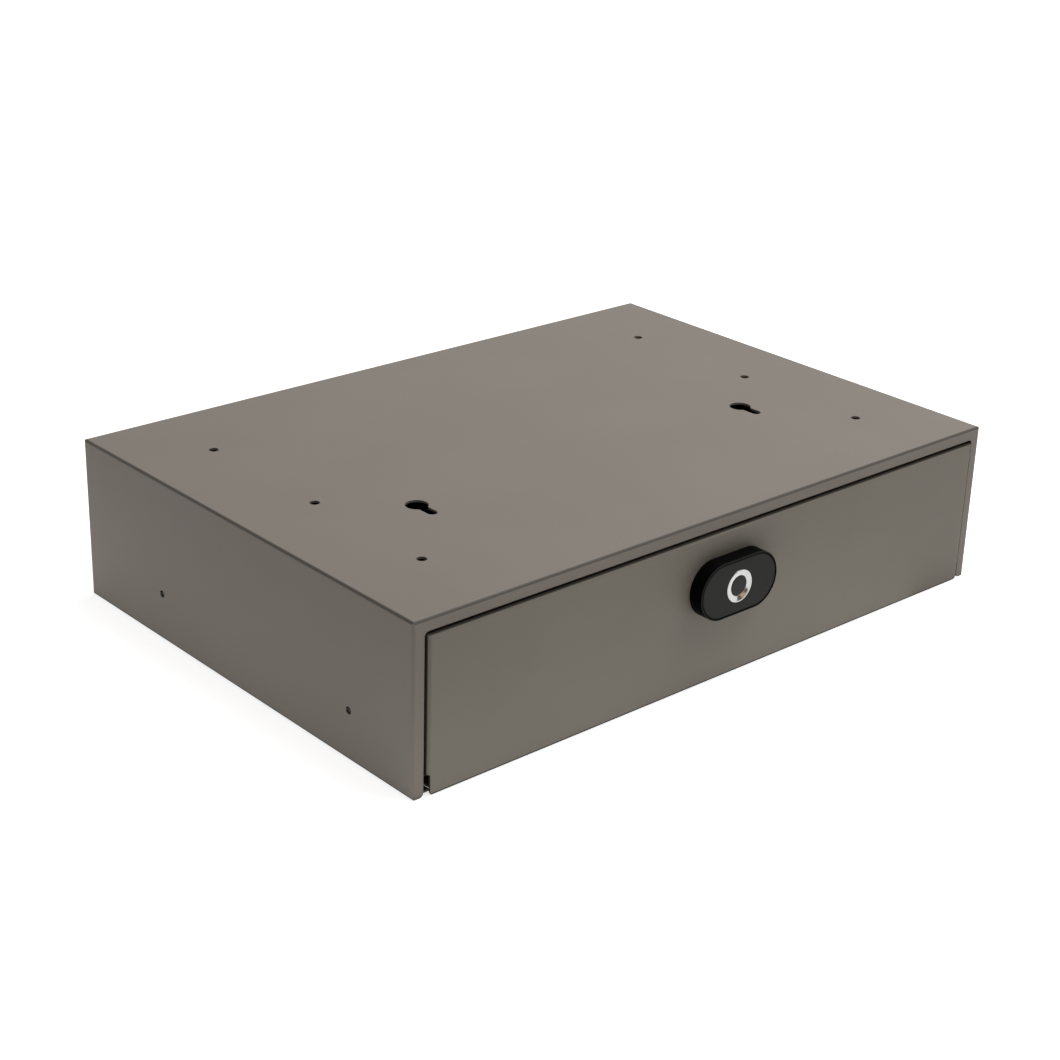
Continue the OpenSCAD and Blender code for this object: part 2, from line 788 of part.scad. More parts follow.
module release_lever(side) {
    color("#1f1f20") hand(side) along_x(slide_x - lever_u - lever_t, slide_x - lever_u) difference() {
        union() {
            panel_2d(
                [lever_y - lever_front_l, slide_z - lever_h / 2],
                [lever_y + lever_rear_l, slide_z + lever_h / 2]
            );
            disc_2d([lever_y, slide_z], lever_eye_r);
            panel_2d(
                [lever_y - lever_front_l - lever_tab_l, slide_z - lever_tab_h / 2],
                [lever_y - lever_front_l, slide_z + lever_tab_h / 2]
            );
        }
        disc_2d([lever_y, slide_z], lever_pin_r + lever_pin_play);
    }
}

// Drawer

module front_block(inset, r) {
    intersection() {
        along_x(-front_x + inset, front_x - inset)
            rounded_2d([face_y + inset, inset], [flange_y + case_d, front_z - inset], r, [[1, 1], [1, -1]]);
        along_z(0, case_h) rounded_2d(
            [-front_x + inset, face_y + inset], [front_x - inset, flange_y + case_d], r, BASE_CORNERS
        );
    }
}

module drawer_front() {
    return_y = face_y + front_return_d;
    base_x = side_x - base_return_w - front_gap;
    color("#6c6861") {
        difference() {
            front_block(0, front_fold_r);
            front_block(front_t, front_fold_r - front_t);
            block([-side_x, return_y, -cut], [side_x, rear_y + case_d, case_h]);
            for (side = [-1, 1]) hand(side) {
                block([base_x, face_in_y, -cut], [side_x, rear_y, front_t + cut]);
                block([front_x - front_fold_r, face_in_y, -cut], [side_x, rear_y, front_notch_h]);
                block([front_x - front_t, face_y - cut, -cut], [side_x, rear_y, front_notch_h]);
            }
            along_y(face_y - cut, face_in_y + cut) {
                for (side = [-1, 1]) corner_2d([side * (front_x - front_t), 0], [-side, 1], front_corner_r);
                disc_2d([0, lock_z], wire_hole_r);
                for (side = [-1, 1]) disc_2d([side * boss_x, lock_z], housing_screw_hole_r);
            }
            block(
                [bolt_x - bolt_w / 2 - bolt_play, bolt_y - bolt_play, front_z - front_t - cut],
                [bolt_x + bolt_w / 2 + bolt_play, bolt_rear_y + bolt_play, case_h]
            );
        }
        for (at = stud_places()) along_y(face_in_y, tray_in_y + stud_stand) disc_2d(at, stud_r);
    }
}

function stud_places() = [
    for (side = [-1, 1], z = [stud_low_z, stud_high_z]) [side * (tray_x - stud_inset_x), z]
];

module front_nuts() {
    color("#a5a7a9") for (at = stud_places()) translate([at[0], tray_in_y, at[1]]) to_rear() difference() {
        union() {
            cylinder(r = nut_flange_r, h = nut_flange_t);
            cylinder(r = nut_r, h = nut_h, $fn = 6);
        }
        translate([0, 0, -cut]) cylinder(r = stud_r + nut_play, h = nut_h + 2 * cut);
    }
}

module tray_block(inset, r) {
    intersection() {
        along_y(tray_front_y + inset, tray_rear_y - inset)
            rounded_2d([-tray_x + inset, tray_z + inset], [tray_x - inset, case_h], r, BASE_CORNERS);
        along_x(-tray_x, tray_x) rounded_2d(
            [tray_front_y + inset, tray_z + inset], [tray_rear_y - inset, case_h], r, BASE_CORNERS
        );
    }
}

module drawer_tray() {
    color("#77716a") difference() {
        tray_block(0, tray_fold_r);
        tray_block(tray_t, tray_fold_r - tray_t);
        block([-side_x, face_y, tray_rim_z], [side_x, rear_y, 2 * case_h]);
        along_y(tray_front_y - cut, tray_in_y + cut) {
            for (at = stud_places()) disc_2d(at, stud_r + nut_play);
            disc_2d([0, lock_z], wire_hole_r);
            for (side = [-1, 1]) disc_2d([side * boss_x, lock_z], housing_screw_hole_r);
            for (x = case_screw_xs) disc_2d([x, lock_z], case_screw_r);
        }
        for (y = side_screw_ys)
            along_x(-tray_x - cut, tray_x + cut) disc_2d([y + drawer_screw_shift, slide_z], drawer_screw_r);
    }
}

module floor_liner() {
    inset = tray_fold_r + liner_gap;
    color("#2a2b2d") along_z(floor_z, floor_z + liner_t) rounded_2d(
        [-tray_x + inset, tray_front_y + inset],
        [tray_x - inset, tray_rear_y - inset],
        liner_corner_r,
        ALL_CORNERS
    );
}

// Lock, outside

module bevelled_stadium(w, h, y0, y1, bevel) {
    flat = (w - h) / 2;
    for (side = [-1, 1]) translate([side * flat, y1, lock_z]) to_front() {
        cylinder(r = h / 2, h = y1 - y0 - bevel);
        translate([0, 0, y1 - y0 - bevel]) cylinder(r1 = h / 2, r2 = h / 2 - bevel, h = bevel);
    }
    along_x(-flat, flat) polygon([
        [y1, lock_z - h / 2],
        [y1, lock_z + h / 2],
        [y0 + bevel, lock_z + h / 2],
        [y0, lock_z + h / 2 - bevel],
        [y0, lock_z - h / 2 + bevel],
        [y0 + bevel, lock_z - h / 2]
    ]);
}

module lock_gasket() {
    color("#161616") along_y(housing_y, face_y) difference() {
        stadium_2d(lock_w - 2 * gasket_inset, lock_h - 2 * gasket_inset);
        disc_2d([0, lock_z], wire_hole_r);
        for (side = [-1, 1]) disc_2d([side * boss_x, lock_z], housing_screw_hole_r);
    }
}

module lock_housing() {
    color("#161617") difference() {
        union() {
            difference() {
                bevelled_stadium(lock_w, lock_h, lock_y, housing_y, lock_bevel);
                along_y(lock_y - cut, recess_y) stadium_2d(lock_w - 2 * lock_rim, lock_h - 2 * lock_rim);
                along_y(recess_y - cut, housing_y - lock_back_t)
                    stadium_2d(lock_w - 2 * lock_wall, lock_h - 2 * lock_wall);
            }
            for (side = [-1, 1]) along_y(board_back_y, housing_y - lock_back_t / 2)
                disc_2d([side * boss_x, lock_z], boss_r);
        }
        along_y(housing_y - lock_back_t - cut, face_y) disc_2d([0, lock_z], wire_hole_r);
        along_y(board_back_y - cut, face_y)
            for (side = [-1, 1]) disc_2d([side * boss_x, lock_z], boss_hole_r);
        along_z(lock_z - lock_h / 2 - cut, lock_z - lock_h / 2 + lock_wall + cut) panel_2d(
            [-usb_w / 2 - usb_play, board_back_y - usb_play],
            [usb_w / 2 + usb_play, board_back_y + usb_t + usb_play]
        );
    }
}

module lock_face_plate() {
    color("#2c2b2b") along_y(plate_y, recess_y) difference() {
        stadium_2d(lock_w - 2 * lock_rim - 2 * plate_play, lock_h - 2 * lock_rim - 2 * plate_play);
        disc_2d([0, lock_z], ring_r + ring_play);
    }
}

module sensor_ring() {
    bore_r = pad_r + pad_play;
    color("#d5d6d6") translate([0, recess_y + ring_collar_t, lock_z]) to_front() rotate_extrude() polygon([
        [bore_r, 0],
        [ring_r + ring_collar, 0],
        [ring_r + ring_collar, ring_collar_t],
        [ring_r, ring_collar_t],
        [ring_r, ring_collar_t + plate_t - ring_play],
        [ring_r - ring_play, ring_collar_t + plate_t],
        [bore_r + ring_crown, ring_collar_t + plate_t],
        [bore_r, ring_collar_t + plate_t - ring_bevel]
    ]);
}

module sensor_pad() {
    color("#2b2b2c") along_y(lock_y + pad_shy, recess_y + ring_collar_t) disc_2d([0, lock_z], pad_r);
}

module sensor_board() {
    color("#1d4a34") along_y(board_front_y, board_back_y)
        stadium_2d(lock_w - 2 * lock_wall - board_inset, lock_h - 2 * lock_wall - board_inset);
    color("#c9b27a") along_y(recess_y + ring_collar_t, board_front_y) disc_2d([0, lock_z], sensor_can_r);
}

module usb_socket() {
    low_z = lock_z - lock_h / 2 + usb_play;
    color("#b9bbbd") difference() {
        block([-usb_w / 2, board_back_y, low_z], [usb_w / 2, board_back_y + usb_t, low_z + usb_l]);
        block(
            [-usb_mouth_w / 2, board_back_y + (usb_t - usb_mouth_t) / 2, low_z - cut],
            [usb_mouth_w / 2, board_back_y + (usb_t + usb_mouth_t) / 2, low_z + usb_mouth_l]
        );
    }
}

module housing_screws() {
    shank = box_floor_y - board_back_y - housing_screw_shy;
    color("#3b3936") for (side = [-1, 1]) translate([side * boss_x, box_floor_y, lock_z]) to_rear()
        screw(housing_screw_r, shank, housing_screw_head_r, housing_screw_head_h);
}

// Lock, inside

function cover_screw_places() = [
    [-box_w / 2 + cover_boss_inset, box_base_z + cover_boss_inset],
    [-box_w / 2 + cover_boss_inset, box_top_z - cover_boss_inset],
    [wall_x - cover_boss_r + cover_gap, box_base_z + cover_boss_inset],
    [wall_x - cover_boss_r + cover_gap, box_top_z - cover_boss_inset]
];

function post_places() = [
    [main_board_x[0] + post_inset, main_board_z[1] - post_inset],
    [main_board_x[0] + post_inset, main_board_z[0] + post_inset],
    [main_board_x[1] - post_inset, main_board_z[1] - post_inset],
    [-boss_x - post_r, main_board_z[0] + post_inset]
];

module bolt_way(play) {
    block(
        [bolt_x - bolt_w / 2 - play, bolt_y - play, bolt_foot_z],
        [bolt_x + bolt_w / 2 + play, bolt_rear_y + play, case_h]
    );
}

module lock_case() {
    color("#202123") difference() {
        union() {
            difference() {
                block([-box_w / 2, box_y, box_base_z], [box_w / 2, box_rim_y, box_top_z]);
                block(
                    [-box_w / 2 + box_t, box_floor_y, box_base_z + box_t],
                    [wall_x, box_rear_y, box_top_z - box_t]
                );
                block(
                    [wall_in_x, box_floor_y, box_base_z + box_t],
                    [box_w / 2 - box_t, box_rear_y, box_top_z - box_t]
                );
            }
            along_y(box_y, box_rim_y) for (at = cover_screw_places()) disc_2d(at, cover_boss_r);
            along_y(box_y, main_board_front_y) for (at = post_places()) disc_2d(at, post_r);
            for (side = [-1, 1]) translate([bolt_x + side * (bolt_w / 2 + bolt_play + guide_t / 2), 0, 0])
                block(
                    [-guide_t / 2, box_y, bolt_foot_z],
                    [guide_t / 2, bolt_rear_y, box_top_z - box_t / 2]
                );
        }
        bolt_way(bolt_play);
        along_y(box_y - cut, box_floor_y + cut) {
            disc_2d([0, lock_z], wire_hole_r);
            for (side = [-1, 1]) disc_2d([side * boss_x, lock_z], housing_screw_hole_r);
            for (x = case_screw_xs) disc_2d([x, lock_z], case_screw_r);
        }
        along_y(box_rim_y - cover_screw_l, box_rear_y)
            for (at = cover_screw_places()) disc_2d(at, cover_screw_r);
        for (way = [-1, 1]) translate([0, 0, (box_base_z + box_top_z) / 2]) mirror([0, 0, way < 0 ? 1 : 0])
            block(
                [wall_in_x, box_rim_y - lip_d - lip_t - lip_gap, box_h / 2 - box_t - cut],
                [box_w / 2 + cut, box_rim_y - lip_d + lip_gap, box_h / 2 - box_t + groove_deep]
            );
        block(
            [box_w / 2 - box_t - cut, box_rim_y - lip_d - lip_t - lip_gap, box_base_z + box_t],
            [box_w / 2 + cut, box_rear_y, box_top_z - box_t]
        );
        block(
            [wall_x - cut, lead_y - lip_gap, lead_z - lip_gap],
            [wall_in_x + cut, box_rear_y, lead_z + lead_w + lip_gap]
        );
    }
}

module case_screws() {
    color("#8f9193") for (x = case_screw_xs) translate([x, box_floor_y, lock_z]) to_rear()
        screw(case_screw_r, box_t + tray_t - nut_play, case_screw_head_r, case_screw_head_h);
}

module lock_cover() {
    color("#26272a") difference() {
        block([-box_w / 2, box_rim_y, box_base_z], [wall_in_x - cover_gap, box_rear_y, box_top_z]);
        along_y(box_rim_y - cut, box_rear_y + cut) {
            for (at = cover_screw_places()) disc_2d(at, cover_screw_r);
            disc_2d([button_x, button_z], button_r + button_play);
        }
        along_y(box_rear_y - cover_screw_head_h, box_rear_y + cut)
            for (at = cover_screw_places()) disc_2d(at, cover_screw_head_r + cover_gap);
    }
}

module cover_screws() {
    color("#9b9da0") for (at = cover_screw_places())
        translate([at[0], box_rear_y - cover_screw_head_h, at[1]]) to_rear()
            screw(cover_screw_r, cover_screw_l, cover_screw_head_r, cover_screw_head_h);
}

module main_board() {
    low = [main_board_x[0], main_board_z[0]];
    high = [main_board_x[1], main_board_z[1]];
    chip_low = low + chip_place;
    relay_low = [low[0] + 2 * post_inset + 2 * post_r, high[1] - relay[1] - relay_gap];
    switch_low = [button_x - switch_w / 2, button_z - switch_w / 2];
    color("#1d4a34") along_y(main_board_front_y, main_board_rear_y) panel_2d(low, high);
    color("#17181a") along_y(main_board_rear_y, main_board_rear_y + chip_t)
        panel_2d(chip_low, chip_low + chip);
    color("#d8d4c8") along_y(main_board_front_y - plug_t, main_board_front_y)
        panel_2d([-ribbon_w / 2 - plug_over, low[1]], [ribbon_w / 2 + plug_over, low[1] + plug_h]);
    color("#2e3338") along_y(main_board_rear_y, main_board_rear_y + relay_t)
        panel_2d(relay_low, relay_low + relay);
    color("#c8cacc") along_y(main_board_rear_y, main_board_rear_y + switch_t)
        panel_2d(switch_low, switch_low + [switch_w, switch_w]);
}

module sensor_ribbon() {
    rise_y = main_board_front_y - plug_t;
    color("#c98a2b") along_x(-ribbon_w / 2, ribbon_w / 2) {
        panel_2d([board_back_y, lock_z - ribbon_t / 2], [rise_y, lock_z + ribbon_t / 2]);
        panel_2d([rise_y - ribbon_t, lock_z - ribbon_t / 2], [rise_y, main_board_z[0] + plug_h]);
    }
}

module setup_button() {
    flange_top_y = box_rim_y - button_play;
    color("#c4452f") along_y(flange_top_y - button_flange_t, box_rear_y + button_proud)
        disc_2d([button_x, button_z], button_r);
    color("#c4452f") along_y(flange_top_y - button_flange_t, flange_top_y)
        disc_2d([button_x, button_z], button_flange_r);
}

module gear_motor() {
    can_x = motor_x + motor_gear_l;
    color("#b59a55") block(
        [motor_x, pinion_y - motor_d / 2, pinion_z - motor_h / 2],
        [can_x, pinion_y + motor_d / 2, pinion_z + motor_h / 2]
    );
    color("#bfc1c3") intersection() {
        along_x(can_x, can_x + motor_l) disc_2d([pinion_y, pinion_z], motor_h / 2);
        block(
            [can_x, pinion_y - motor_d / 2, pinion_z - motor_h],
            [can_x + motor_l, pinion_y + motor_d / 2, pinion_z + motor_h]
        );
    }
    color("#e8e6e0") along_x(can_x + motor_l, can_x + motor_l + motor_cap_l)
        disc_2d([pinion_y, pinion_z], motor_cap_r);
}

module motor_leads() {
    end_x = motor_x + motor_gear_l + motor_l + motor_cap_l;
    color("#a02a22") {
        block(
            [end_x, pinion_y - lead_w / 2, pinion_z - lead_w / 2],
            [end_x + lead_t, main_board_rear_y, pinion_z + lead_w / 2]
        );
        block([end_x, main_board_front_y, pinion_z], [end_x + lead_t, main_board_rear_y, main_board_z[0]]);
    }
}

module drive_pinion() {
    tip_r = pinion_r + tooth_tip;
    root_r = pinion_r - tooth_root;
    tip_half = tooth_half - tooth_tip * tooth_tan;
    root_half = tooth_half + tooth_root * tooth_tan * root_flare_share;
    color("#c7a252") {
        along_x(bolt_x - pinion_w / 2, bolt_x + pinion_w / 2) translate([pinion_y, pinion_z]) {
            disc_2d([0, 0], root_r);
            for (i = [0 : pinion_teeth - 1]) rotate(180 + (i + 1 / 2) * 360 / pinion_teeth) polygon([
                [root_r / 2, -root_half],
                [root_r, -root_half],
                [pinion_r, -tooth_half],
                [tip_r, -tip_half],
                [tip_r, tip_half],
                [pinion_r, tooth_half],
                [root_r, root_half],
                [root_r / 2, root_half]
            ]);
        }
        along_x(bolt_x - pinion_w / 2, motor_x - shaft_gap) disc_2d([pinion_y, pinion_z], shaft_r);
    }
}

module latch_bolt() {
    rack_top = pinion_z + tooth_pitch * ceil((pinion_r + rack_above) / tooth_pitch);
    rack_foot = pinion_z - tooth_pitch * ceil((bolt_throw + rack_below) / tooth_pitch);
    count = round((rack_top - rack_foot) / tooth_pitch);
    foot_z = max(bolt_foot_z, rack_foot - tooth_pitch);
    floor_y = rack_line_y - tooth_root;
    tip_half = tooth_half - tooth_tip * tooth_tan;
    root_half = tooth_half + tooth_root * tooth_tan;
    color("#b9bbbe") difference() {
        along_x(bolt_x - bolt_w / 2, bolt_x + bolt_w / 2) polygon([
            [bolt_y, foot_z],
            [bolt_rear_y, foot_z],
            [bolt_rear_y, bolt_top_z - bolt_lead],
            [bolt_rear_y - bolt_lead, bolt_top_z],
            [bolt_y + bolt_lead, bolt_top_z],
            [bolt_y, bolt_top_z - bolt_lead]
        ]);
        along_x(bolt_x - pinion_w / 2 - rack_side, bolt_x + pinion_w / 2 + rack_side)
            for (i = [0 : count - 1]) translate([0, rack_foot + (i + 1 / 2) * tooth_pitch]) polygon([
                [floor_y, -(tooth_pitch / 2 - root_half)],
                [bolt_rear_y + cut, -(tooth_pitch / 2 - tip_half) - cut * tooth_tan],
                [bolt_rear_y + cut, (tooth_pitch / 2 - tip_half) + cut * tooth_tan],
                [floor_y, tooth_pitch / 2 - root_half]
            ]);
    }
}

// Battery bay

module battery_holder() {
    half = cells_h / 2 + cell_r + holder_gap;
    color("#2b2c2f") difference() {
        union() {
            block(
                [holder_x[0], box_floor_y, bay_mid_z - half],
                [holder_x[1], box_floor_y + holder_floor_t, bay_mid_z + half]
            );
            for (x = [holder_x[0], holder_x[1] - holder_end_t]) block(
                [x, box_floor_y, bay_mid_z - half],
                [x + holder_end_t, cell_y + cell_r, bay_mid_z + half]
            );
        }
        along_x(holder_x[0] + holder_end_t, holder_x[1] - holder_end_t)
            for (i = [0 : cell_count - 1]) disc_2d([cell_y, cell_z(i)], cell_r + cell_play);
        along_y(box_y, box_floor_y + holder_floor_t + cut) {
            disc_2d([case_screw_xs[0], lock_z], case_screw_head_r + cell_play);
            disc_2d([boss_x, lock_z], housing_screw_head_r + cell_play);
        }
    }
}

module batteries() {
    color("#3d6b8c") for (i = [0 : cell_count - 1])
        translate([cell_x, cell_y, cell_z(i)])
        mirror([i % 2, 0, 0])
        to_right() translate([0, 0, -cell_l / 2]) {
            cylinder(r = cell_r, h = cell_l - cell_nub_l);
            translate([0, 0, cell_l - cell_nub_l]) cylinder(r = cell_nub_r, h = cell_nub_l);
        }
}

function cell_z(i) = bay_mid_z - cells_h / 2 + i * cell_pitch;

module battery_contacts() {
    xs = [holder_x[0] + holder_end_t, holder_x[1] - holder_end_t - contact_t];
    color("#c9cbcd") for (i = [0 : cell_count - 1], x = xs) translate([x, cell_y, cell_z(i)])
        block([0, -contact_w / 2, -contact_w / 2], [contact_t, cell_r, contact_w / 2]);
}

module battery_leads() {
    color("#a02a22") block(
        [main_board_x[1], lead_y, lead_z],
        [holder_x[0] + holder_end_t, lead_y + lead_t, lead_z + lead_w]
    );
}

module battery_cover() {
    lip_z = box_h / 2 - box_t - lip_gap;
    color("#2b2c2f") difference() {
        union() {
            block([wall_in_x, box_rim_y, box_base_z], [box_w / 2, box_rear_y, box_top_z]);
            block(
                [box_w / 2 - box_t, box_rim_y - lip_d - lip_t, box_base_z + box_t + lip_gap],
                [box_w / 2, box_rim_y, box_top_z - box_t - lip_gap]
            );
            for (way = [-1, 1]) translate([0, 0, bay_mid_z]) mirror([0, 0, way < 0 ? 1 : 0])
                along_x(wall_in_x + box_t, box_w / 2 - box_t) {
                    panel_2d([box_rim_y - lip_d - lip_t, lip_z - lip_t], [box_rim_y, lip_z]);
                    panel_2d(
                        [box_rim_y - lip_d - lip_t, lip_z - lip_t],
                        [box_rim_y - lip_d, lip_z + lip_toe]
                    );
                }
        }
        for (i = [0 : grip_count - 1]) translate([box_w / 2 - grip_inset - i * grip_pitch, 0, bay_mid_z])
            block(
                [-grip_w / 2, box_rear_y - grip_deep, -grip_h / 2],
                [grip_w / 2, box_rear_y + cut, grip_h / 2]
            );
    }
}

cabinet_shell();
rear_panel();
rear_panel_screws();
strike_plate();
drawer_bumpers();
slide_bracket(-1);  // slide_bracket_left
slide_bracket(1);  // slide_bracket_right
slide_outer(-1);  // slide_outer_left
slide_outer(1);  // slide_outer_right
cabinet_slide_screws();
slide_middle(-1);  // slide_middle_left
slide_middle(1);  // slide_middle_right
cage_outer(-1);  // cage_outer_left
cage_outer(1);  // cage_outer_right
cage_inner(-1);  // cage_inner_left
cage_inner(1);  // cage_inner_right
balls_outer(-1);  // balls_outer_left
balls_outer(1);  // balls_outer_right
balls_inner(-1);  // balls_inner_left
balls_inner(1);  // balls_inner_right
slide_inner(-1);  // slide_inner_left
slide_inner(1);  // slide_inner_right
drawer_slide_screws();
release_lever(-1);  // release_lever_left
release_lever(1);  // release_lever_right
drawer_front();
front_nuts();
drawer_tray();
floor_liner();
lock_gasket();
lock_housing();
lock_face_plate();
sensor_ring();
sensor_pad();
sensor_board();
usb_socket();
housing_screws();
sensor_ribbon();
lock_case();
case_screws();
lock_cover();
cover_screws();
main_board();
setup_button();
gear_motor();
motor_leads();
drive_pinion();
latch_bolt();
battery_holder();
batteries();
battery_contacts();
battery_leads();
battery_cover();
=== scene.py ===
import math

import bmesh
import bpy
from mathutils import Matrix, Vector


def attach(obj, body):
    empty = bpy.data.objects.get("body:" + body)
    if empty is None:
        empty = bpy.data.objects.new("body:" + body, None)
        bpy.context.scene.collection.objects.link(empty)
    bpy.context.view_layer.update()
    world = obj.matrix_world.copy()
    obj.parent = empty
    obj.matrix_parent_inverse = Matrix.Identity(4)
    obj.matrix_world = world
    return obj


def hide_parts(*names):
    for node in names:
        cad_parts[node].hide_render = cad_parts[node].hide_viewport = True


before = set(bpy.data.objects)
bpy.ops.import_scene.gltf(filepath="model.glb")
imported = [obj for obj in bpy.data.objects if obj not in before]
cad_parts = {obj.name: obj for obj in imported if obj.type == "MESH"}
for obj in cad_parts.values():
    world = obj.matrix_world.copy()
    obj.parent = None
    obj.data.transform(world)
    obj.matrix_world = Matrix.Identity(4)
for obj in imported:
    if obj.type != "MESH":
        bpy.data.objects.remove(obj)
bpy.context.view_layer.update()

# ---- Camera
# The photograph was taken from the front left, looking down by about 24 degrees, with a
# long lens about one and a half metres away, so that the cabinet's edges draw together
# only slightly.
camera_place = Vector((-0.90356964, -0.98797701, 0.62965344))
camera_right = Vector((0.75110929, -0.65959785, 0.02766774))
camera_down = Vector((-0.24595843, -0.31848264, -0.91546341))
camera_ahead = Vector((0.6126494, 0.68080796, -0.40144892))
focal_in_pixels = 2126.987
photo_width = 1060
sensor_width = 36.0

camera = bpy.data.objects.new("camera", bpy.data.cameras.new("camera"))
camera.data.sensor_fit = "HORIZONTAL"
camera.data.sensor_width = sensor_width
camera.data.lens = focal_in_pixels / photo_width * sensor_width
camera.data.clip_start = 0.05
camera.data.clip_end = 60.0
turn = Matrix((camera_right, -camera_down, -camera_ahead)).transposed()
camera.matrix_world = Matrix.Translation(camera_place) @ turn.to_4x4()
bpy.context.scene.collection.objects.link(camera)
bpy.context.scene.camera = camera
bpy.context.scene.view_settings.view_transform = "Standard"


# ---- Studio: pale floor, white surround and one large soft lamp
# A matt white sweep under a broad diffuser held above the cabinet's front right corner.
# The surround is white to the eye and in reflections, and gives a weaker fill light.
class Wire:
    """One output of a node, on which plain sums add the nodes that work them out."""

    def __init__(self, owner, socket):
        self.owner = owner
        self.socket = socket

    def beside(self, name):
        """Another output of the same node."""
        return Wire(self.owner, self.socket.node.outputs[name])

    def sum(self, operation, *values):
        return self.owner.node(
            "ShaderNodeMath", {"operation": operation}, dict(enumerate(values))
        )

    def __add__(self, other):
        return self.sum("ADD", self, other)

    def __radd__(self, other):
        return self.sum("ADD", other, self)

    def __sub__(self, other):
        return self.sum("SUBTRACT", self, other)

    def __rsub__(self, other):
        return self.sum("SUBTRACT", other, self)

    def __mul__(self, other):
        return self.sum("MULTIPLY", self, other)

    def __rmul__(self, other):
        return self.sum("MULTIPLY", other, self)

    def __abs__(self):
        return self.sum("ABSOLUTE", self)

    def larger(self, other):
        return self.sum("MAXIMUM", self, other)

    def between(self, low, high):
        """Rises smoothly from 0 at low to 1 at high."""
        return self.owner.node(
            "ShaderNodeMapRange",
            {"interpolation_type": "SMOOTHSTEP"},
            {"Value": self, "From Min": low, "From Max": high},
        )


class Nodes:
    """A node tree, and the one way in which nodes are put into it."""

    def __init__(self, tree):
        self.tree = tree
        self.tree.nodes.clear()

    def node(self, kind, settings=None, values=None, out=0):
        """Adds a node with its settings, then the values or wires of its sockets."""
        made = self.tree.nodes.new(kind)
        for name, value in (settings or {}).items():
            setattr(made, name, value)
        for name, value in (values or {}).items():
            if isinstance(value, Wire):
                self.tree.links.new(value.socket, made.inputs[name])
            else:
                made.inputs[name].default_value = value
        return Wire(self, made.outputs[out]) if len(made.outputs) else None

    def part(self, vector, axis="X"):
        """One part of a vector, with the other two beside it."""
        return self.node("ShaderNodeSeparateXYZ", values={"Vector": vector}, out=axis)

    def blend(self, share, first, second):
        """A colour that gives way to another by share."""
        return self.node(
            "ShaderNodeMix", {"data_type": "RGBA"}, {0: share, 6: first, 7: second}, out=2
        )

    def mixed(self, share, first, second):
        """A shader that gives way to another by share."""
        return self.node("ShaderNodeMixShader", values={0: share, 1: first, 2: second})


def seen_as_white(nodes):
    """1 where the eye, a reflection or a clear piece looks at the studio itself."""
    rays = nodes.node("ShaderNodeLightPath", out="Is Camera Ray")
    return rays.larger(rays.beside("Is Glossy Ray")).larger(
        rays.beside("Is Transmission Ray")
    )


white = (1.0, 1.0, 1.0, 1.0)
# a strength of 1 shows as plain white
white_strength = 1.0
fill_strength = 0.175
surround = bpy.data.worlds.new("surround")
surround.use_nodes = True
bpy.context.scene.world = surround
sky = Nodes(surround.node_tree)
fill = sky.node("ShaderNodeBackground", values={"Color": white, "Strength": fill_strength})
backdrop = sky.node("ShaderNodeBackground", values={"Color": white, "Strength": white_strength})
seen_sky = sky.mixed(seen_as_white(sky), fill, backdrop)
sky.node("ShaderNodeOutputWorld", values={"Surface": seen_sky})

floor_reach = 14.0
floor_white = (0.86, 0.86, 0.86, 1.0)
# how bright the sweep looks near by and far off, and how far off that changes
lift_near = (0.8, 0.8, 0.8, 1.0)
lift_far = (0.9, 0.9, 0.9, 1.0)
lift_changes = (0.7, 2.5)
# half of the cabinet's width and depth, and the soft edge of the sweep left dark under it
foot_reach = (0.25, 0.175)
foot_middle_y = 0.0065
foot_shade = 0.015
floor_mesh = bpy.data.meshes.new("studio_floor")
floor_mesh.from_pydata(
    [
        (-floor_reach, -floor_reach, 0.0),
        (floor_reach, -floor_reach, 0.0),
        (floor_reach, floor_reach, 0.0),
        (-floor_reach, floor_reach, 0.0),
    ],
    [],
    [(0, 1, 2, 3)],
)
floor_sheet = bpy.data.materials.new("studio_floor")
floor_sheet.use_nodes = True
sweep = Nodes(floor_sheet.node_tree)
matt = sweep.node("ShaderNodeBsdfDiffuse", values={"Color": floor_white})
spot = sweep.node("ShaderNodeTexCoord", out="Object")
spot_x = sweep.part(spot)
# the sweep is lit more evenly further off, so that it meets the surround without a line
far_off = sweep.node("ShaderNodeVectorMath", {"operation": "LENGTH"}, {0: spot}, out="Value")
lift_tone = sweep.blend(far_off.between(*lift_changes), lift_near, lift_far)
lift = sweep.node("ShaderNodeEmission", values={"Color": lift_tone, "Strength": white_strength})
lifted = sweep.node("ShaderNodeAddShader", values={0: matt, 1: lift})
beside_foot = abs(spot_x).between(foot_reach[0] - foot_shade, foot_reach[0])
before_foot = abs(spot_x.beside("Y") - foot_middle_y).between(
    foot_reach[1] - foot_shade, foot_reach[1]
)
# the sweep isn't lifted where the cabinet stands over it
open_floor = beside_foot.larger(before_foot)
seen_floor = sweep.mixed(seen_as_white(sweep) * open_floor, matt, lifted)
# from underneath the sweep isn't there, so that the cabinet's open underside can be seen
from_below = sweep.node("ShaderNodeNewGeometry", out="Backfacing")
one_sided = sweep.mixed(from_below, seen_floor, sweep.node("ShaderNodeBsdfTransparent"))
sweep.node("ShaderNodeOutputMaterial", values={"Surface": one_sided})
floor_mesh.materials.append(floor_sheet)
studio_floor = bpy.data.objects.new("studio_floor", floor_mesh)
bpy.context.scene.collection.objects.link(studio_floor)


def soft_lamp(name, size, power, place):
    """A rectangular lamp as wide and long as size, which shines down its own -Z."""
    lamp = bpy.data.objects.new(name, bpy.data.lights.new(name, "AREA"))
    lamp.data.shape = "RECTANGLE"
    lamp.data.size, lamp.data.size_y = size
    lamp.data.energy = power
    lamp.matrix_world = place
    bpy.context.scene.collection.objects.link(lamp)
    return lamp


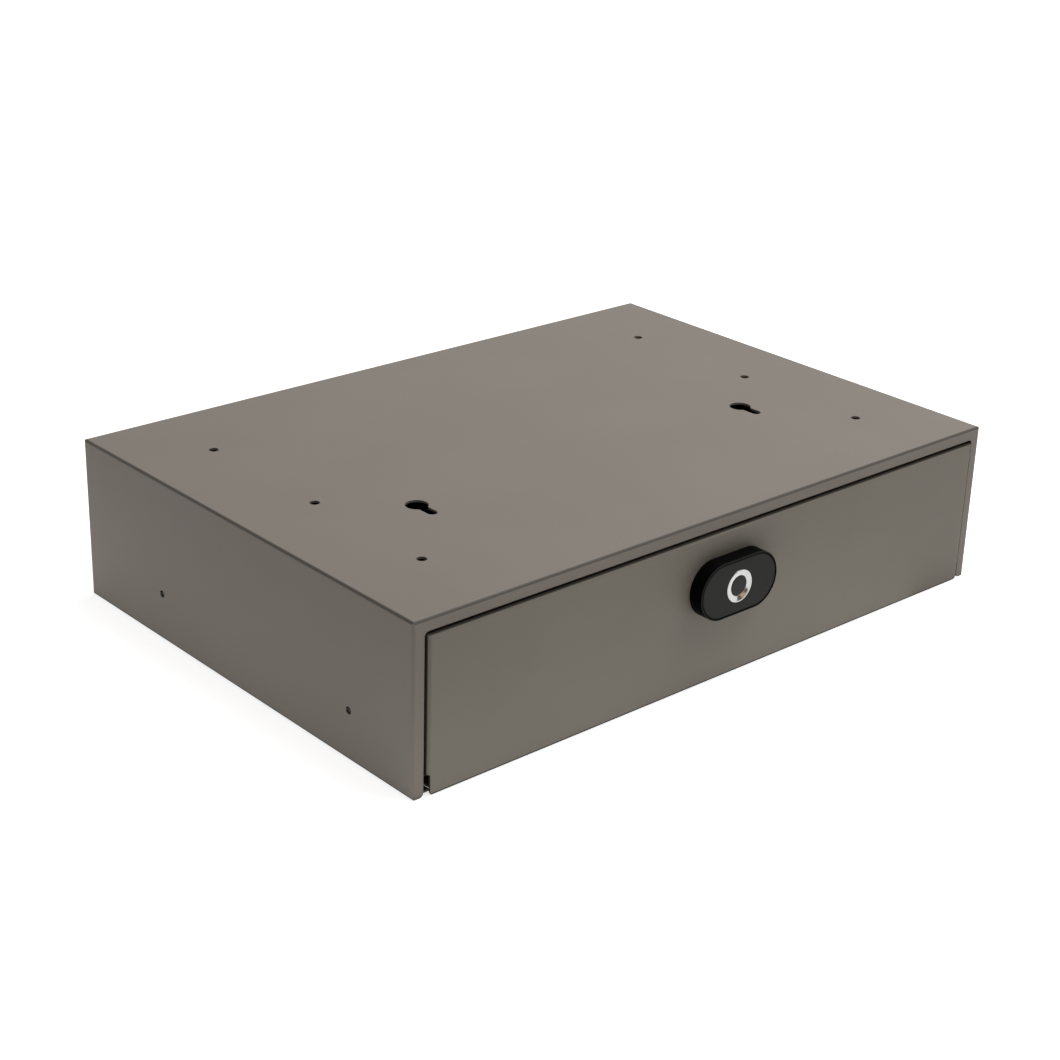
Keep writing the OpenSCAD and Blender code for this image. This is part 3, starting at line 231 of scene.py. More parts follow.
def glow(name, size, strength, place):
    """A faint lamp on the sweep that shines up and isn't seen itself."""
    power = math.pi * strength * size[0] * size[1]
    lamp = soft_lamp(name, size, power, place @ Matrix.Rotation(math.pi, 4, "X"))
    lamp.visible_camera = False
    lamp.visible_glossy = False


lamp_size = (1.4, 1.2)
lamp_power = 20.9
lamp_place = Vector((0.5, -0.24, 1.6))
lamp_aim = Vector((0.1, -0.05, 0.05))
lamp_turn = (lamp_place - lamp_aim).to_track_quat("Z", "Y").to_matrix().to_4x4()
soft_lamp("soft_lamp", lamp_size, lamp_power, Matrix.Translation(lamp_place) @ lamp_turn)

# light thrown back by the bright sweep close round the cabinet's foot: front, left, rear
# and right, each with its distance from the middle, its length and its shift to the right
glow_strength = 0.44
glow_width = 0.14
glow_gap = 0.001
glow_sides = (
    (foot_reach[1], 0.64, -0.13),
    (foot_reach[0], 0.6, 0.0),
    (foot_reach[1], 0.9, 0.0),
    (foot_reach[0], 0.6, 0.0),
)
foot_middle = Matrix.Translation((0.0, foot_middle_y, glow_gap))
for quarter, (reach, length, shift) in enumerate(glow_sides):
    turned = foot_middle @ Matrix.Rotation(-math.pi / 2 * quarter, 4, "Z")
    beside = Matrix.Translation((shift, -(reach + glow_gap + glow_width / 2), 0.0))
    glow("floor_glow", (length, glow_width), glow_strength, turned @ beside)

# a faint light from below, so that the underside isn't black when it is looked at
under_strength = 0.17
under_size = (0.456, 0.32)
glow("under_glow", under_size, under_strength, foot_middle)


# ---- Cabinet shell and rear panel
# The cabinet is one folded sheet of 1.5 mm steel: the top, two sides with a narrow foot,
# a flange round the front opening, and a rim that the rear panel is screwed to. Both are
# powder coated in a warm satin grey, with painted shade darkening the folds.
def shown(red, green, blue):
    """A colour as it is seen on a screen, from 0 to 255, as light for a shader."""
    light = []
    for part in (red, green, blue):
        share = part / 255.0
        light.append(share / 12.92 if share <= 0.04045 else ((share + 0.055) / 1.055) ** 2.4)
    return (*light, 1.0)


def toned(colour, share):
    """The same colour, lighter or darker."""
    return (*(part * share for part in colour[:3]), 1.0)


class Finish(Nodes):
    """A finish whose detail is worked out from where each point of the piece lies."""

    def __init__(self, name):
        self.material = bpy.data.materials.new(name)
        self.material.use_nodes = True
        super().__init__(self.material.node_tree)
        self.place = self.node("ShaderNodeTexCoord", out="Object")

    def spots(self, size, detail=2.0, stretch=(1.0, 1.0, 1.0)):
        """Soft random spots about size across, drawn out along the axes by stretch."""
        scale = tuple(1.0 / (size * share) for share in stretch)
        at = self.node("ShaderNodeMapping", values={"Vector": self.place, "Scale": scale})
        return self.node(
            "ShaderNodeTexNoise", values={"Vector": at, "Scale": 1.0, "Detail": detail}
        )

    def clouded(self, share, colour, low, high):
        """The colour at from low to high times its own lightness, by share."""
        return self.blend(share, toned(colour, low), toned(colour, high))

    def relief(self, height, depth, below=None):
        """Dents and rises of that depth in metres, on top of those given as below."""
        values = {"Strength": 1.0, "Distance": depth, "Height": height}
        if below is not None:
            values["Normal"] = below
        return self.node("ShaderNodeBump", values=values)

    def made(self, values, other_values=None, share=0.0):
        """The finish itself, in places giving way to another one by the share given."""
        shader = self.node("ShaderNodeBsdfPrincipled", values=values)
        if other_values:
            other = self.node("ShaderNodeBsdfPrincipled", values=other_values)
            shader = self.mixed(share, shader, other)
        self.node("ShaderNodeOutputMaterial", values={"Surface": shader})
        return self.material


# how squarely sheet and bends face along an axis, 1 being squarely
sheet_square = 0.9995
foot_square = 0.98
level_square = (0.99, 0.999)
# a folded foot faces down by this much of its outward direction, and painted shade makes it
# this dark
foot_down = -0.25
foot_shade_tone = 0.06
# how far back the drawer front's returns lie in the gap round it, where painted shade darkens
# them, and that shade's share of the painted shade on folds
gap_rear_y = -0.1645
gap_front_y = -0.167
gap_shade_share = 0.9


def powder_coat(name, colour, fold_shade_tone=0.38, fold_up=(0.12, 0.4), fold_square=0.9, dull=0.0):
    """Baked powder: faint clouds of tone, an orange peel skin and painted shade on folds.
    The painted shade comes in over fold_up, by how far folds face up, is full where they
    face no more squarely than fold_square, and is darker on folds that face down. Where dull
    is given, folds take that share of a finish without gloss, and painted shade darkens
    the returns that lie in the gap as it darkens folds."""
    coat = Finish(name)
    cloud = coat.spots(0.09)
    peel = coat.spots(0.0013, detail=3.0)
    grit = coat.spots(0.00035, detail=1.0)
    outward = coat.part(coat.node("ShaderNodeTexCoord", out="Normal"))
    across, along, up = (abs(outward.beside(axis)) for axis in "XYZ")
    squareness = across.larger(along).larger(up)
    # painted shade on the folds, by how far they face up
    painted_fold_shade = squareness.between(sheet_square, fold_square) * up.between(*fold_up)
    # painted shade on folds that face down, such as the foot
    facing_down = outward.beside("Z").between(0.0, foot_down)
    painted_foot_shade = squareness.between(sheet_square, foot_square) * facing_down
    if dull:
        # painted shade on the drawer front's level returns where they lie back in the gap
        level = up.larger(across).between(*level_square)
        painted_gap_shade = level * coat.part(coat.place, "Y").between(gap_rear_y, gap_front_y)
        painted_fold_shade = painted_fold_shade.larger(gap_shade_share * painted_gap_shade).larger(painted_foot_shade)
    tone = coat.clouded(cloud.between(0.3, 0.7), colour, 0.965, 1.03)
    tone = coat.blend(grit.between(0.55, 0.8) * 0.25, tone, toned(colour, 0.9))
    # the painted shade darkens the folds, the returns in the gap and the foot
    tone = coat.blend(painted_fold_shade, tone, toned(colour, fold_shade_tone))
    tone = coat.blend(painted_foot_shade, tone, toned(colour, foot_shade_tone))
    skin = coat.relief(peel, depth=0.00003, below=coat.relief(grit, depth=0.000008))
    glossy = {
        "Base Color": tone,
        "Roughness": 0.5 + 0.1 * cloud - 0.06 * painted_fold_shade + 0.05 * peel,
        "Specular IOR Level": 0.28,
        "Normal": skin,
    }
    if not dull:
        return coat.made(glossy)
    # where the painted shade lies, the coat also loses its gloss
    thin = {
        "Base Color": tone,
        "Roughness": 0.8 + 0.1 * cloud,
        "Specular IOR Level": 0.0,
        "Normal": skin,
    }
    return coat.made(glossy, thin, dull * painted_fold_shade)


def finish_nodes(material, *names):
    """Gives CAD nodes, which keep their own shape, a finish."""
    for name in names:
        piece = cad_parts[name]
        if not piece.material_slots:
            piece.data.materials.append(material)
        for slot in piece.material_slots:
            slot.material = material


cabinet_coat = powder_coat("cabinet_coat", shown(134, 126, 117))
finish_nodes(cabinet_coat, "cabinet_shell", "rear_panel")


# ---- Rear panel screws
# Seven black countersunk socket screws, two at each side and three along the top, hold
# the rear panel to the cabinet's folded rim. Their heads are sunk flush in the steel.
def ringed_mesh(name, rings, loop=False):
    """A closed solid drawn through rings of equal counts, pointed at both ends or looped."""
    corners = []
    faces = []
    count = max(len(ring) for ring in rings)
    starts = []
    for ring in rings:
        starts.append((len(corners), len(ring)))
        corners.extend(ring)
    pairs = list(zip(starts, starts[1:] + ([starts[0]] if loop else [])))
    for (first, first_count), (second, second_count) in pairs:
        for step in range(count):
            after = (step + 1) % count
            if first_count == 1:
                faces.append((first, second + step, second + after))
            elif second_count == 1:
                faces.append((first + step, second, first + after))
            else:
                faces.append((first + step, second + step, second + after, first + after))
    mesh = bpy.data.meshes.new(name)
    mesh.from_pydata(corners, [], faces)
    shape = bmesh.new()
    shape.from_mesh(mesh)
    bmesh.ops.recalc_face_normals(shape, faces=shape.faces)
    shape.to_mesh(mesh)
    shape.free()
    return mesh


def round_ring(radius, height, count):
    angles = (2 * math.pi * step / count for step in range(count))
    return [(radius * math.cos(a), radius * math.sin(a), height) for a in angles]


def hex_ring(corner_radius, height, count, chamfer_from=None, chamfer_slope=0.0):
    """A hexagon with points on its sides; past chamfer_from its corners fall away."""
    flat_radius = corner_radius * math.cos(math.pi / 6)
    ring = []
    for step in range(count):
        angle = 2 * math.pi * step / count
        from_corner = abs((angle + math.pi / 6) % (math.pi / 3) - math.pi / 6)
        # the middle of a side lies half way between two corners
        reach = flat_radius / math.cos(math.pi / 6 - from_corner)
        drop = 0.0
        if chamfer_from is not None:
            drop = max(0.0, reach - chamfer_from) * chamfer_slope
        ring.append((reach * math.cos(angle), reach * math.sin(angle), height - drop))
    return ring


# a screw's small forms: its socket's drilled point and bevelled mouth as shares of the
# socket's radius, its thread's root as a share of its radius, and its crest and tip as
# shares of the pitch
screw_sides = 24
socket_point = 0.25
mouth_depth = 0.12
mouth_flare = 1.1
root_share = 0.86
crest = (0.4, 0.6)
tip_length = 0.3


def screw_mesh(name, head, socket_radius, socket_depth, thread_radius, shank, pitch):
    """A socket screw along +Z with its seat at 0; head is its outline as (radius, height)
    from the middle outwards and down. All in millimetres."""
    top = head[0][1]
    rings = [
        [(0.0, 0.0, top - socket_depth - socket_point * socket_radius)],
        hex_ring(socket_radius, top - socket_depth, screw_sides),
        hex_ring(socket_radius, top - mouth_depth * socket_radius, screw_sides),
        round_ring(mouth_flare * socket_radius, top, screw_sides),
    ]
    rings.extend(round_ring(radius, height, screw_sides) for radius, height in head[1:])
    root = root_share * thread_radius
    depth = pitch / 2
    while depth < shank - pitch:
        rings.append(round_ring(root, -depth, screw_sides))
        for share in crest:
            rings.append(round_ring(thread_radius, -depth - share * pitch, screw_sides))
        depth += pitch
    rings.append(round_ring(root, tip_length * pitch - shank, screw_sides))
    rings.append([(0.0, 0.0, -shank)])
    return ringed_mesh(name, rings)


class Layout(Nodes):
    """A tree that sets copies of a shape out on points and turns them to face a way."""

    def __init__(self, name, inputs):
        super().__init__(bpy.data.node_groups.new(name, "GeometryNodeTree"))
        panel = self.tree.interface
        panel.new_socket("Places", in_out="INPUT", socket_type="NodeSocketGeometry")
        self.keys = {}
        for label, kind in inputs.items():
            made = panel.new_socket(label, in_out="INPUT", socket_type="NodeSocket" + kind)
            self.keys[label] = made.identifier
        panel.new_socket("Set out", in_out="OUTPUT", socket_type="NodeSocketGeometry")
        self.given = self.node("NodeGroupInput", out="Places")

    def finished(self, copies):
        """Makes the copies real and gives them their finish."""
        real = self.node("GeometryNodeRealizeInstances", values={"Geometry": copies})
        dressed = self.node(
            "GeometryNodeSetMaterial",
            values={"Geometry": real, "Material": self.given.beside("Finish")},
        )
        self.node("NodeGroupOutput", values={"Set out": dressed})


def fastener_layout():
    layout = Layout(
        "fasteners_on_points",
        {
            "Shape": "Object",
            "Unit": "Float",
            "Turn": "Float",
            "Seed": "Int",
            "Finish": "Material",
        },
    )
    given = layout.given
    shape = layout.node(
        "GeometryNodeObjectInfo",
        {"transform_space": "ORIGINAL"},
        {"Object": given.beside("Shape"), "As Instance": True},
        out="Geometry",
    )
    way = layout.node(
        "GeometryNodeInputNamedAttribute", {"data_type": "FLOAT_VECTOR"}, {"Name": "way"}
    )
    facing = layout.node(
        "FunctionNodeAlignRotationToVector", {"axis": "Z"}, {"Vector": way}
    )
    copies = layout.node(
        "GeometryNodeInstanceOnPoints",
        values={
            "Points": given,
            "Instance": shape,
            "Rotation": facing,
            "Scale": given.beside("Unit"),
        },
    )
    furthest = layout.node("ShaderNodeCombineXYZ", values={"Z": given.beside("Turn")})
    spin = layout.node(
        "FunctionNodeRandomValue",
        {"data_type": "FLOAT_VECTOR"},
        {0: (0.0, 0.0, 0.0), 1: furthest, "Seed": given.beside("Seed")},
    )
    spun = layout.node(
        "GeometryNodeRotateInstances", values={"Instances": copies, "Rotation": spin}
    )
    layout.finished(spun)
    return layout


fasteners_on_points = fastener_layout()


millimetre = 0.001


def set_out(name, layout, places, ways, settings, smooth_to=40.0):
    """A plain mesh of all the copies that a layout makes on places in millimetres."""
    points = bpy.data.meshes.new(name)
    points.from_pydata([[millimetre * part for part in place] for place in places], [], [])
    facing = points.attributes.new("way", "FLOAT_VECTOR", "POINT")
    facing.data.foreach_set("vector", [part for way in ways for part in way])
    piece = bpy.data.objects.new(name, points)
    bpy.context.scene.collection.objects.link(piece)
    step = piece.modifiers.new("set_out", "NODES")
    step.node_group = layout.tree
    for label, value in settings.items():
        step[layout.keys[label]] = value
    bpy.context.view_layer.update()
    seen = piece.evaluated_get(bpy.context.evaluated_depsgraph_get())
    mesh = bpy.data.meshes.new_from_object(seen)
    piece.modifiers.clear()
    piece.data = mesh
    bpy.data.meshes.remove(points)
    mesh.name = name
    mesh.shade_smooth()
    mesh.set_sharp_from_angle(angle=math.radians(smooth_to))
    return piece


def fasteners(name, node, shape_mesh, places, way_of, finish, body, seed):
    """One group of like screws or nuts, in millimetres, riding on a body in place of its
    CAD node; way_of gives the way in which the one at a place faces."""
    shape = bpy.data.objects.new(name + "_shape", shape_mesh)
    bpy.context.scene.collection.objects.link(shape)
    settings = {
        "Shape": shape,
        "Unit": millimetre,
        "Turn": 2 * math.pi,
        "Seed": seed,
        "Finish": finish,
    }
    ways = [way_of(place) for place in places]
    piece = set_out(name, fasteners_on_points, places, ways, settings)
    bpy.data.objects.remove(shape)
    bpy.data.meshes.remove(shape_mesh)
    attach(piece, body)
    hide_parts(node)


def plated(name, colour, grain=0.0004, stretch=(1.0, 1.0, 1.0), roughness=0.32, metallic=1.0):
    """Plated or blackened steel with a fine directional grain and faint cloudy tones."""
    plate = Finish(name)
    streak = plate.spots(grain, 3.0, stretch)
    cloud = plate.spots(0.012)
    tone = plate.clouded(streak.between(0.25, 0.75), colour, 0.86, 1.08)
    tone = plate.blend(cloud.between(0.35, 0.7) * 0.35, tone, toned(colour, 0.84))
    return plate.made(
        {
            "Base Color": tone,
            "Metallic": metallic,
            "Roughness": roughness - 0.08 + 0.16 * streak + 0.08 * cloud,
            "Normal": plate.relief(streak, depth=0.000004),
        }
    )


black_steel = plated("black_steel", shown(17, 16, 16), roughness=0.55, metallic=0.3)


def to_rear(place):
    return (0.0, 1.0, 0.0)


rear_y = 181.5
panel_screw_places = [
    (side * 242.0, rear_y, height) for side in (-1, 1) for height in (28.25, 96.05)
]
panel_screw_places += [(across, rear_y, 105.0) for across in (-150.0, 0.0, 150.0)]
panel_screw = screw_mesh(
    "panel_screw",
    [(0.0, 0.0), (3.6, 0.0), (3.75, -0.12), (2.0, -1.8)],
    socket_radius=1.3,
    socket_depth=1.2,
    thread_radius=2.0,
    shank=4.8,
    pitch=0.7,
)
fasteners(
    "countersunk_panel_screws",
    "rear_panel_screws",
    panel_screw,
    panel_screw_places,
    to_rear,
    black_steel,
    "cabinet",
    seed=3,
)

# ---- Strike plate and bumpers
# A bent tab of zinc plated steel is welded behind the flange for the bolt to catch, and
# two rubber buffers are pushed into the rear panel for the drawer to close against.
strike_zinc = plated("strike_zinc", shown(176, 176, 172), roughness=0.38)
finish_nodes(strike_zinc, "strike_plate")

rubber = Finish("buffer_rubber")
bloom = rubber.spots(0.004, detail=3.0)
pores = rubber.spots(0.0005)
rubber_black = shown(34, 34, 35)
soft_rubber = rubber.made(
    {
        "Base Color": rubber.clouded(bloom, rubber_black, 0.75, 1.5),
        "Roughness": 0.72 + 0.15 * bloom,
        "Specular IOR Level": 0.2,
        "Normal": rubber.relief(pores, depth=0.00004),
    }
)
finish_nodes(soft_rubber, "drawer_bumpers", "lock_gasket")

# ---- Slides
# Ball bearing slides 45.7 mm high, roll formed in zinc plated steel strip: an outer member
# on a folded bracket, a middle member and an inner member, with ball cages between.
strip_zinc = plated(
    "strip_zinc", shown(190, 193, 196), grain=0.0007, stretch=(1.0, 60.0, 1.0), roughness=0.33
)
bracket_zinc = plated("bracket_zinc", shown(181, 184, 188), roughness=0.4)
cage_zinc = plated("cage_zinc", shown(168, 168, 160), grain=0.0005, roughness=0.42)
for side in ("left", "right"):
    finish_nodes(
        strip_zinc, "slide_outer_" + side, "slide_middle_" + side, "slide_inner_" + side
    )
    finish_nodes(bracket_zinc, "slide_bracket_" + side)
    finish_nodes(cage_zinc, "cage_outer_" + side, "cage_inner_" + side)

# ---- Slide balls
# Each cage carries ten polished steel balls 3.5 mm across, five along the top groove and
# five along the bottom one, where the members run on them.
polish = Finish("ball_polish")
smear = polish.spots(0.0009, detail=3.0)
polished_steel = polish.made(
    {
        "Base Color": polish.blend(smear, shown(205, 206, 209), shown(226, 227, 229)),
        "Metallic": 1.0,
        "Roughness": 0.07 + 0.1 * smear,
        "Normal": polish.relief(smear, depth=0.000001),
    }
)


def ball_layout():
    layout = Layout(
        "balls_on_points",
        {"Radius": "Float", "Around": "Int", "Rows": "Int", "Finish": "Material"},
    )
    given = layout.given
    ball = layout.node(
        "GeometryNodeMeshUVSphere",
        values={
            "Radius": given.beside("Radius"),
            "Segments": given.beside("Around"),
            "Rings": given.beside("Rows"),
        },
    )
    copies = layout.node(
        "GeometryNodeInstanceOnPoints", values={"Points": given, "Instance": ball}
    )
    layout.finished(copies)
    return layout


balls_on_points = ball_layout()
ball_settings = {
    "Radius": millimetre * 1.75,
    "Around": 20,
    "Rows": 12,
    "Finish": polished_steel,
}
ball_rows = (-49.0, -35.0, -21.0, -7.0, 7.0)
slide_face = 242.5
slide_height = 33.3
# each row's distance from the slide's outer face, and from its middle up and down
outer_row = ("outer", 4.85, 20.2)
inner_row = ("inner", 8.15, 16.1)
for side, sign in (("left", -1), ("right", 1)):
    for row, depth, spread in (outer_row, inner_row):
        places = [
            (sign * (slide_face - depth), along, slide_height + rise)
            for rise in (-spread, spread)
            for along in ball_rows
        ]
        balls = set_out(
            f"steel_balls_{row}_{side}",
            balls_on_points,
            places,
            [(0.0, 0.0, 1.0)] * len(places),
            ball_settings,
            smooth_to=60.0,
        )
        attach(balls, f"{row}_balls_{side}")
        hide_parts(f"balls_{row}_{side}")

# ---- Slide screws
# Countersunk screws hold each outer member and its bracket to the cabinet's side; low
# domed screws hold the tray's sides to the inner members.


def inwards(place):
    return (-1.0 if place[0] > 0 else 1.0, 0.0, 0.0)


def outwards(place):
    return (1.0 if place[0] > 0 else -1.0, 0.0, 0.0)


cabinet_slide_screw = screw_mesh(
    "cabinet_slide_screw",
    [(0.0, 0.0), (3.7, 0.0), (3.85, -0.12), (2.35, -1.5)],
    socket_radius=1.5,
    socket_depth=1.4,
    thread_radius=2.35,
    shank=8.1,
    pitch=0.8,
)
fasteners(
    "countersunk_slide_screws",
    "cabinet_slide_screws",
    cabinet_slide_screw,
    [(side * 241.3, along, slide_height) for side in (-1, 1) for along in (-108.5, 91.5)],
    inwards,
    black_steel,
    "cabinet",
    seed=5,
)
screw_zinc = plated("screw_zinc", shown(186, 188, 190), grain=0.0003, roughness=0.3)
drawer_slide_screw = screw_mesh(
    "drawer_slide_screw",
    [(0.0, 1.8), (1.9, 1.8), (2.7, 1.62), (3.25, 1.2), (3.5, 0.6), (3.5, 0.0), (2.0, 0.0)],
    socket_radius=1.5,
    socket_depth=1.1,
    thread_radius=1.95,
    shank=3.9,
    pitch=0.7,
)
fasteners(
    "low_head_slide_screws",
    "drawer_slide_screws",
    drawer_slide_screw,
    [(side * 231.0, along, slide_height) for side in (-1, 1) for along in (-93.5, 106.5)],
    outwards,
    screw_zinc,
    "drawer",
    seed=7,
)

# ---- Release levers
# A black moulded lever pivots on each inner member: lifting or pressing it frees the
# drawer from its slides, so that it can be taken out.
moulding = Finish("moulded_black")
sink = moulding.spots(0.02)
grain = moulding.spots(0.0006)
moulded_grey = shown(38, 38, 39)
moulded_black = moulding.made(
    {
        "Base Color": moulding.clouded(sink, moulded_grey, 0.85, 1.15),
        "Roughness": 0.42 + 0.2 * grain,
        "Specular IOR Level": 0.35,
        "Normal": moulding.relief(grain, depth=0.00003),
    }
)
finish_nodes(moulded_black, "release_lever_left", "release_lever_right")

# ---- Drawer tray
# The drawer's body is a tray of 1.2 mm steel, folded up on four sides with welded corners
# and a plain upper edge, and coated like the cabinet.
# its folds carry a light painted shade, and folds that face down a dark one
tray_coat = powder_coat("tray_coat", shown(130, 124, 113), fold_shade_tone=0.8)
finish_nodes(tray_coat, "drawer_tray")

# ---- Floor liner
# A loose mat of charcoal needle felt, 3 mm thick with its foam back and cut with round
# corners, lies in the bottom of the tray so that what is kept there doesn't rattle.
liner_reach_x = 0.2275
liner_front_y = -0.1667
liner_rear_y = 0.1692
liner_low_z = 0.0042
liner_high_z = 0.0072
liner_corner = 0.002
least_corner = 0.0004
liner_edge = 0.0009
edge_steps = 4
# the lower edge's inset and height, and the widest place's share of the thickness
lower_edge = (0.0002, 0.0004)
widest = 0.45
face_insets = (0.004, 0.02, 0.05, 0.09, 0.13, 0.16)


def liner_outline(inset, count=6):
    """The mat's outline drawn in by inset, with its four corners rounded."""
    radius = max(liner_corner - inset, least_corner)
    outline = []
    for corner, (x_side, y_side) in enumerate(((1, 1), (-1, 1), (-1, -1), (1, -1))):
        middle_x = x_side * (liner_reach_x - inset - radius)
        edge_y = liner_rear_y if y_side > 0 else liner_front_y
        middle_y = edge_y - y_side * (inset + radius)
        for step in range(count + 1):
            angle = math.pi / 2 * (corner + step / count)
            outline.append(
                (middle_x + radius * math.cos(angle), middle_y + radius * math.sin(angle))
            )
    return outline


def liner_mesh():
    """A thin closed mat whose cut edges are pressed slightly round."""
    steps = [
        (liner_edge, liner_low_z),
        (lower_edge[0], liner_low_z + lower_edge[1]),
        (0.0, liner_low_z + widest * (liner_high_z - liner_low_z)),
    ]
    for step in range(1, edge_steps + 1):
        angle = math.pi / 2 * step / edge_steps
        inset = liner_edge * (1 - math.cos(angle))
        steps.append((inset, liner_high_z - liner_edge + liner_edge * math.sin(angle)))
    steps.extend((inset, liner_high_z) for inset in face_insets)
    rings = [[(0.0, 0.0, liner_low_z)]]
    for inset, height in steps:
        rings.append([(x, y, height) for x, y in liner_outline(inset)])
    rings.append([(0.0, 0.0, liner_high_z)])
    return ringed_mesh("floor_liner_mat", rings)


felt = Finish("needle_felt")
tuft = felt.spots(0.0007, detail=4.0)
fibre = felt.spots(0.0004, 3.0, (5.0, 1.0, 1.0))
cross_fibre = felt.spots(0.0004, 3.0, (1.0, 5.0, 1.0))
wear = felt.spots(0.07)
felt_grey = shown(50, 50, 53)
nap = fibre.larger(cross_fibre)
felt_tone = felt.clouded(nap.between(0.45, 0.72), felt_grey, 0.6, 1.7)
felt_tone = felt.blend(wear.between(0.3, 0.8) * 0.3, felt_tone, toned(felt_grey, 0.75))
needle_felt = felt.made(
    {
        "Base Color": felt_tone,
        "Roughness": 0.92 + 0.06 * tuft,
        "Specular IOR Level": 0.1,
        "Sheen Weight": 0.25,
        "Sheen Roughness": 0.5,
        "Normal": felt.relief(tuft + 0.6 * nap, depth=0.00018),
    }
)
floor_liner = bpy.data.objects.new("floor_liner_mat", liner_mesh())
bpy.context.scene.collection.objects.link(floor_liner)
floor_liner.data.materials.append(needle_felt)
floor_liner.data.shade_smooth()
floor_liner.data.set_sharp_from_angle(angle=math.radians(50))
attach(floor_liner, "drawer")
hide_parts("floor_liner")

# ---- Drawer front
# The front is a separate folded panel of 1.5 mm steel, coated a shade cooler than the
# cabinet, with four studs welded behind it that pass through the tray.
# dark painted shade covers its top and bottom folds and the returns that lie back in the gap
# round it, where the coat also loses its gloss
front_coat = powder_coat(
    "front_coat",
    shown(128, 122, 111),
    fold_shade_tone=0.2,
    fold_up=(0.6, 0.97),
    fold_square=0.99,
    dull=0.95,
)
finish_nodes(front_coat, "drawer_front")

# ---- Front nuts
# Four zinc plated hexagon nuts on those studs clamp the tray to the front. A flange under
# each spreads its load over the thin sheet.
nut_count = 48
nut_top = 3.2
nut_flange_top = 0.9
front_nut = ringed_mesh(
    "front_nut",
    [
        round_ring(2.62, 0.0, nut_count),
        round_ring(5.3, 0.0, nut_count),
        round_ring(5.4, 0.15, nut_count),
        round_ring(5.3, 0.5, nut_count),
        round_ring(4.75, nut_flange_top, nut_count),
        hex_ring(4.6, nut_flange_top + 0.02, nut_count),
        hex_ring(4.6, nut_top, nut_count, chamfer_from=4.0, chamfer_slope=0.6),
        round_ring(3.9, nut_top, nut_count),
        round_ring(2.95, nut_top, nut_count),
        round_ring(2.62, nut_top - 0.35, nut_count),
    ],
    loop=True,
)
fasteners(
    "flanged_front_nuts",
    "front_nuts",
    front_nut,
    [(side * 179.8, -167.8, height) for side in (-1, 1) for height in (22.0, 76.0)],
    to_rear,
    screw_zinc,
    "drawer",
    seed=11,
)


# ---- Lock, outside
# A stadium shaped black moulding stands on a rubber gasket, with a charcoal face plate
# set in its rim and a chromed ring round the fingerprint pad.
def smoothed(name, new_name, body, finish, smooth_to=32.0):
    """Puts a copy of a CAD node, with its seams joined and its round faces smooth, in its
    place."""
    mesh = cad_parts[name].data.copy()
    mesh.name = new_name
    shape = bmesh.new()
    shape.from_mesh(mesh)
    bmesh.ops.remove_doubles(shape, verts=shape.verts, dist=0.000002)
    shape.to_mesh(mesh)
    shape.free()
    if mesh.has_custom_normals:
        mesh.attributes.remove(mesh.attributes["custom_normal"])
    mesh.materials.clear()
    mesh.materials.append(finish)
    mesh.shade_smooth()
    mesh.set_sharp_from_angle(angle=math.radians(smooth_to))
    piece = bpy.data.objects.new(new_name, mesh)
    bpy.context.scene.collection.objects.link(piece)
    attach(piece, body)
    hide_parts(name)


shell = Finish("lock_black")
fine = shell.spots(0.00045)
haze = shell.spots(0.012)
# a painted highlight lightens the moulding's outer edge, which is also a little smoother, and
# its sides and rim are left matt
forward = abs(shell.part(shell.node("ShaderNodeTexCoord", out="Normal"), "Y"))
painted_edge_highlight = forward.between(0.3, 0.5) * forward.between(0.93, 0.8)
lock_black_tone = shown(5, 5, 5)
shell_tone = shell.clouded(haze, lock_black_tone, 0.8, 1.2)
# the lighter grey on the outer edge is the painted highlight
lock_black = shell.made(
    {
        "Base Color": shell.blend(painted_edge_highlight, shell_tone, shown(46, 45, 44)),
        "Roughness": 0.34 + 0.12 * fine - 0.12 * painted_edge_highlight,
        "Specular IOR Level": 0.02,
        "Normal": shell.relief(fine, depth=0.000012),
    }
)
smoothed("lock_housing", "lock_housing_moulding", "drawer", lock_black)

lock_wide = 68.0
lock_high = 38.5
lock_face_y = -181.5
lock_middle_z = 68.0
outline_count = 144
# the least rise of a line from the lock's middle, so that a level one can be worked out
least_rise = 0.001


def in_the_lock(across, up, depth):
    """A place measured from the pad's middle and back from the housing's rim."""
    return (
        millimetre * across,
        millimetre * (lock_face_y + depth),
        millimetre * (lock_middle_z + up),
    )


def round_the_pad(radius, depth):
    ring = round_ring(radius, 0.0, outline_count)
    return [in_the_lock(across, up, depth) for across, up, _ in ring]


def round_the_rim(inset, depth):
    """The lock's stadium outline, drawn in by inset, in the same steps as the circles."""
    radius = lock_high / 2 - inset
    half_flat = (lock_wide - lock_high) / 2
    ring = []
    for across, up, _ in round_ring(1.0, 0.0, outline_count):
        reach = radius / max(abs(up), least_rise)
        if reach * abs(across) > half_flat:
            reach = half_flat * abs(across)
            reach += math.sqrt(radius**2 - (half_flat * up) ** 2)
        ring.append(in_the_lock(reach * across, reach * up, depth))
    return ring


def lock_piece(name, node, rings, finish, loop=True, smooth_to=34.0):
    mesh = ringed_mesh(name, rings, loop)
    mesh.materials.append(finish)
    mesh.shade_smooth()
    mesh.set_sharp_from_angle(angle=math.radians(smooth_to))
    piece = bpy.data.objects.new(name, mesh)
    bpy.context.scene.collection.objects.link(piece)
    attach(piece, "drawer")
    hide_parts(node)


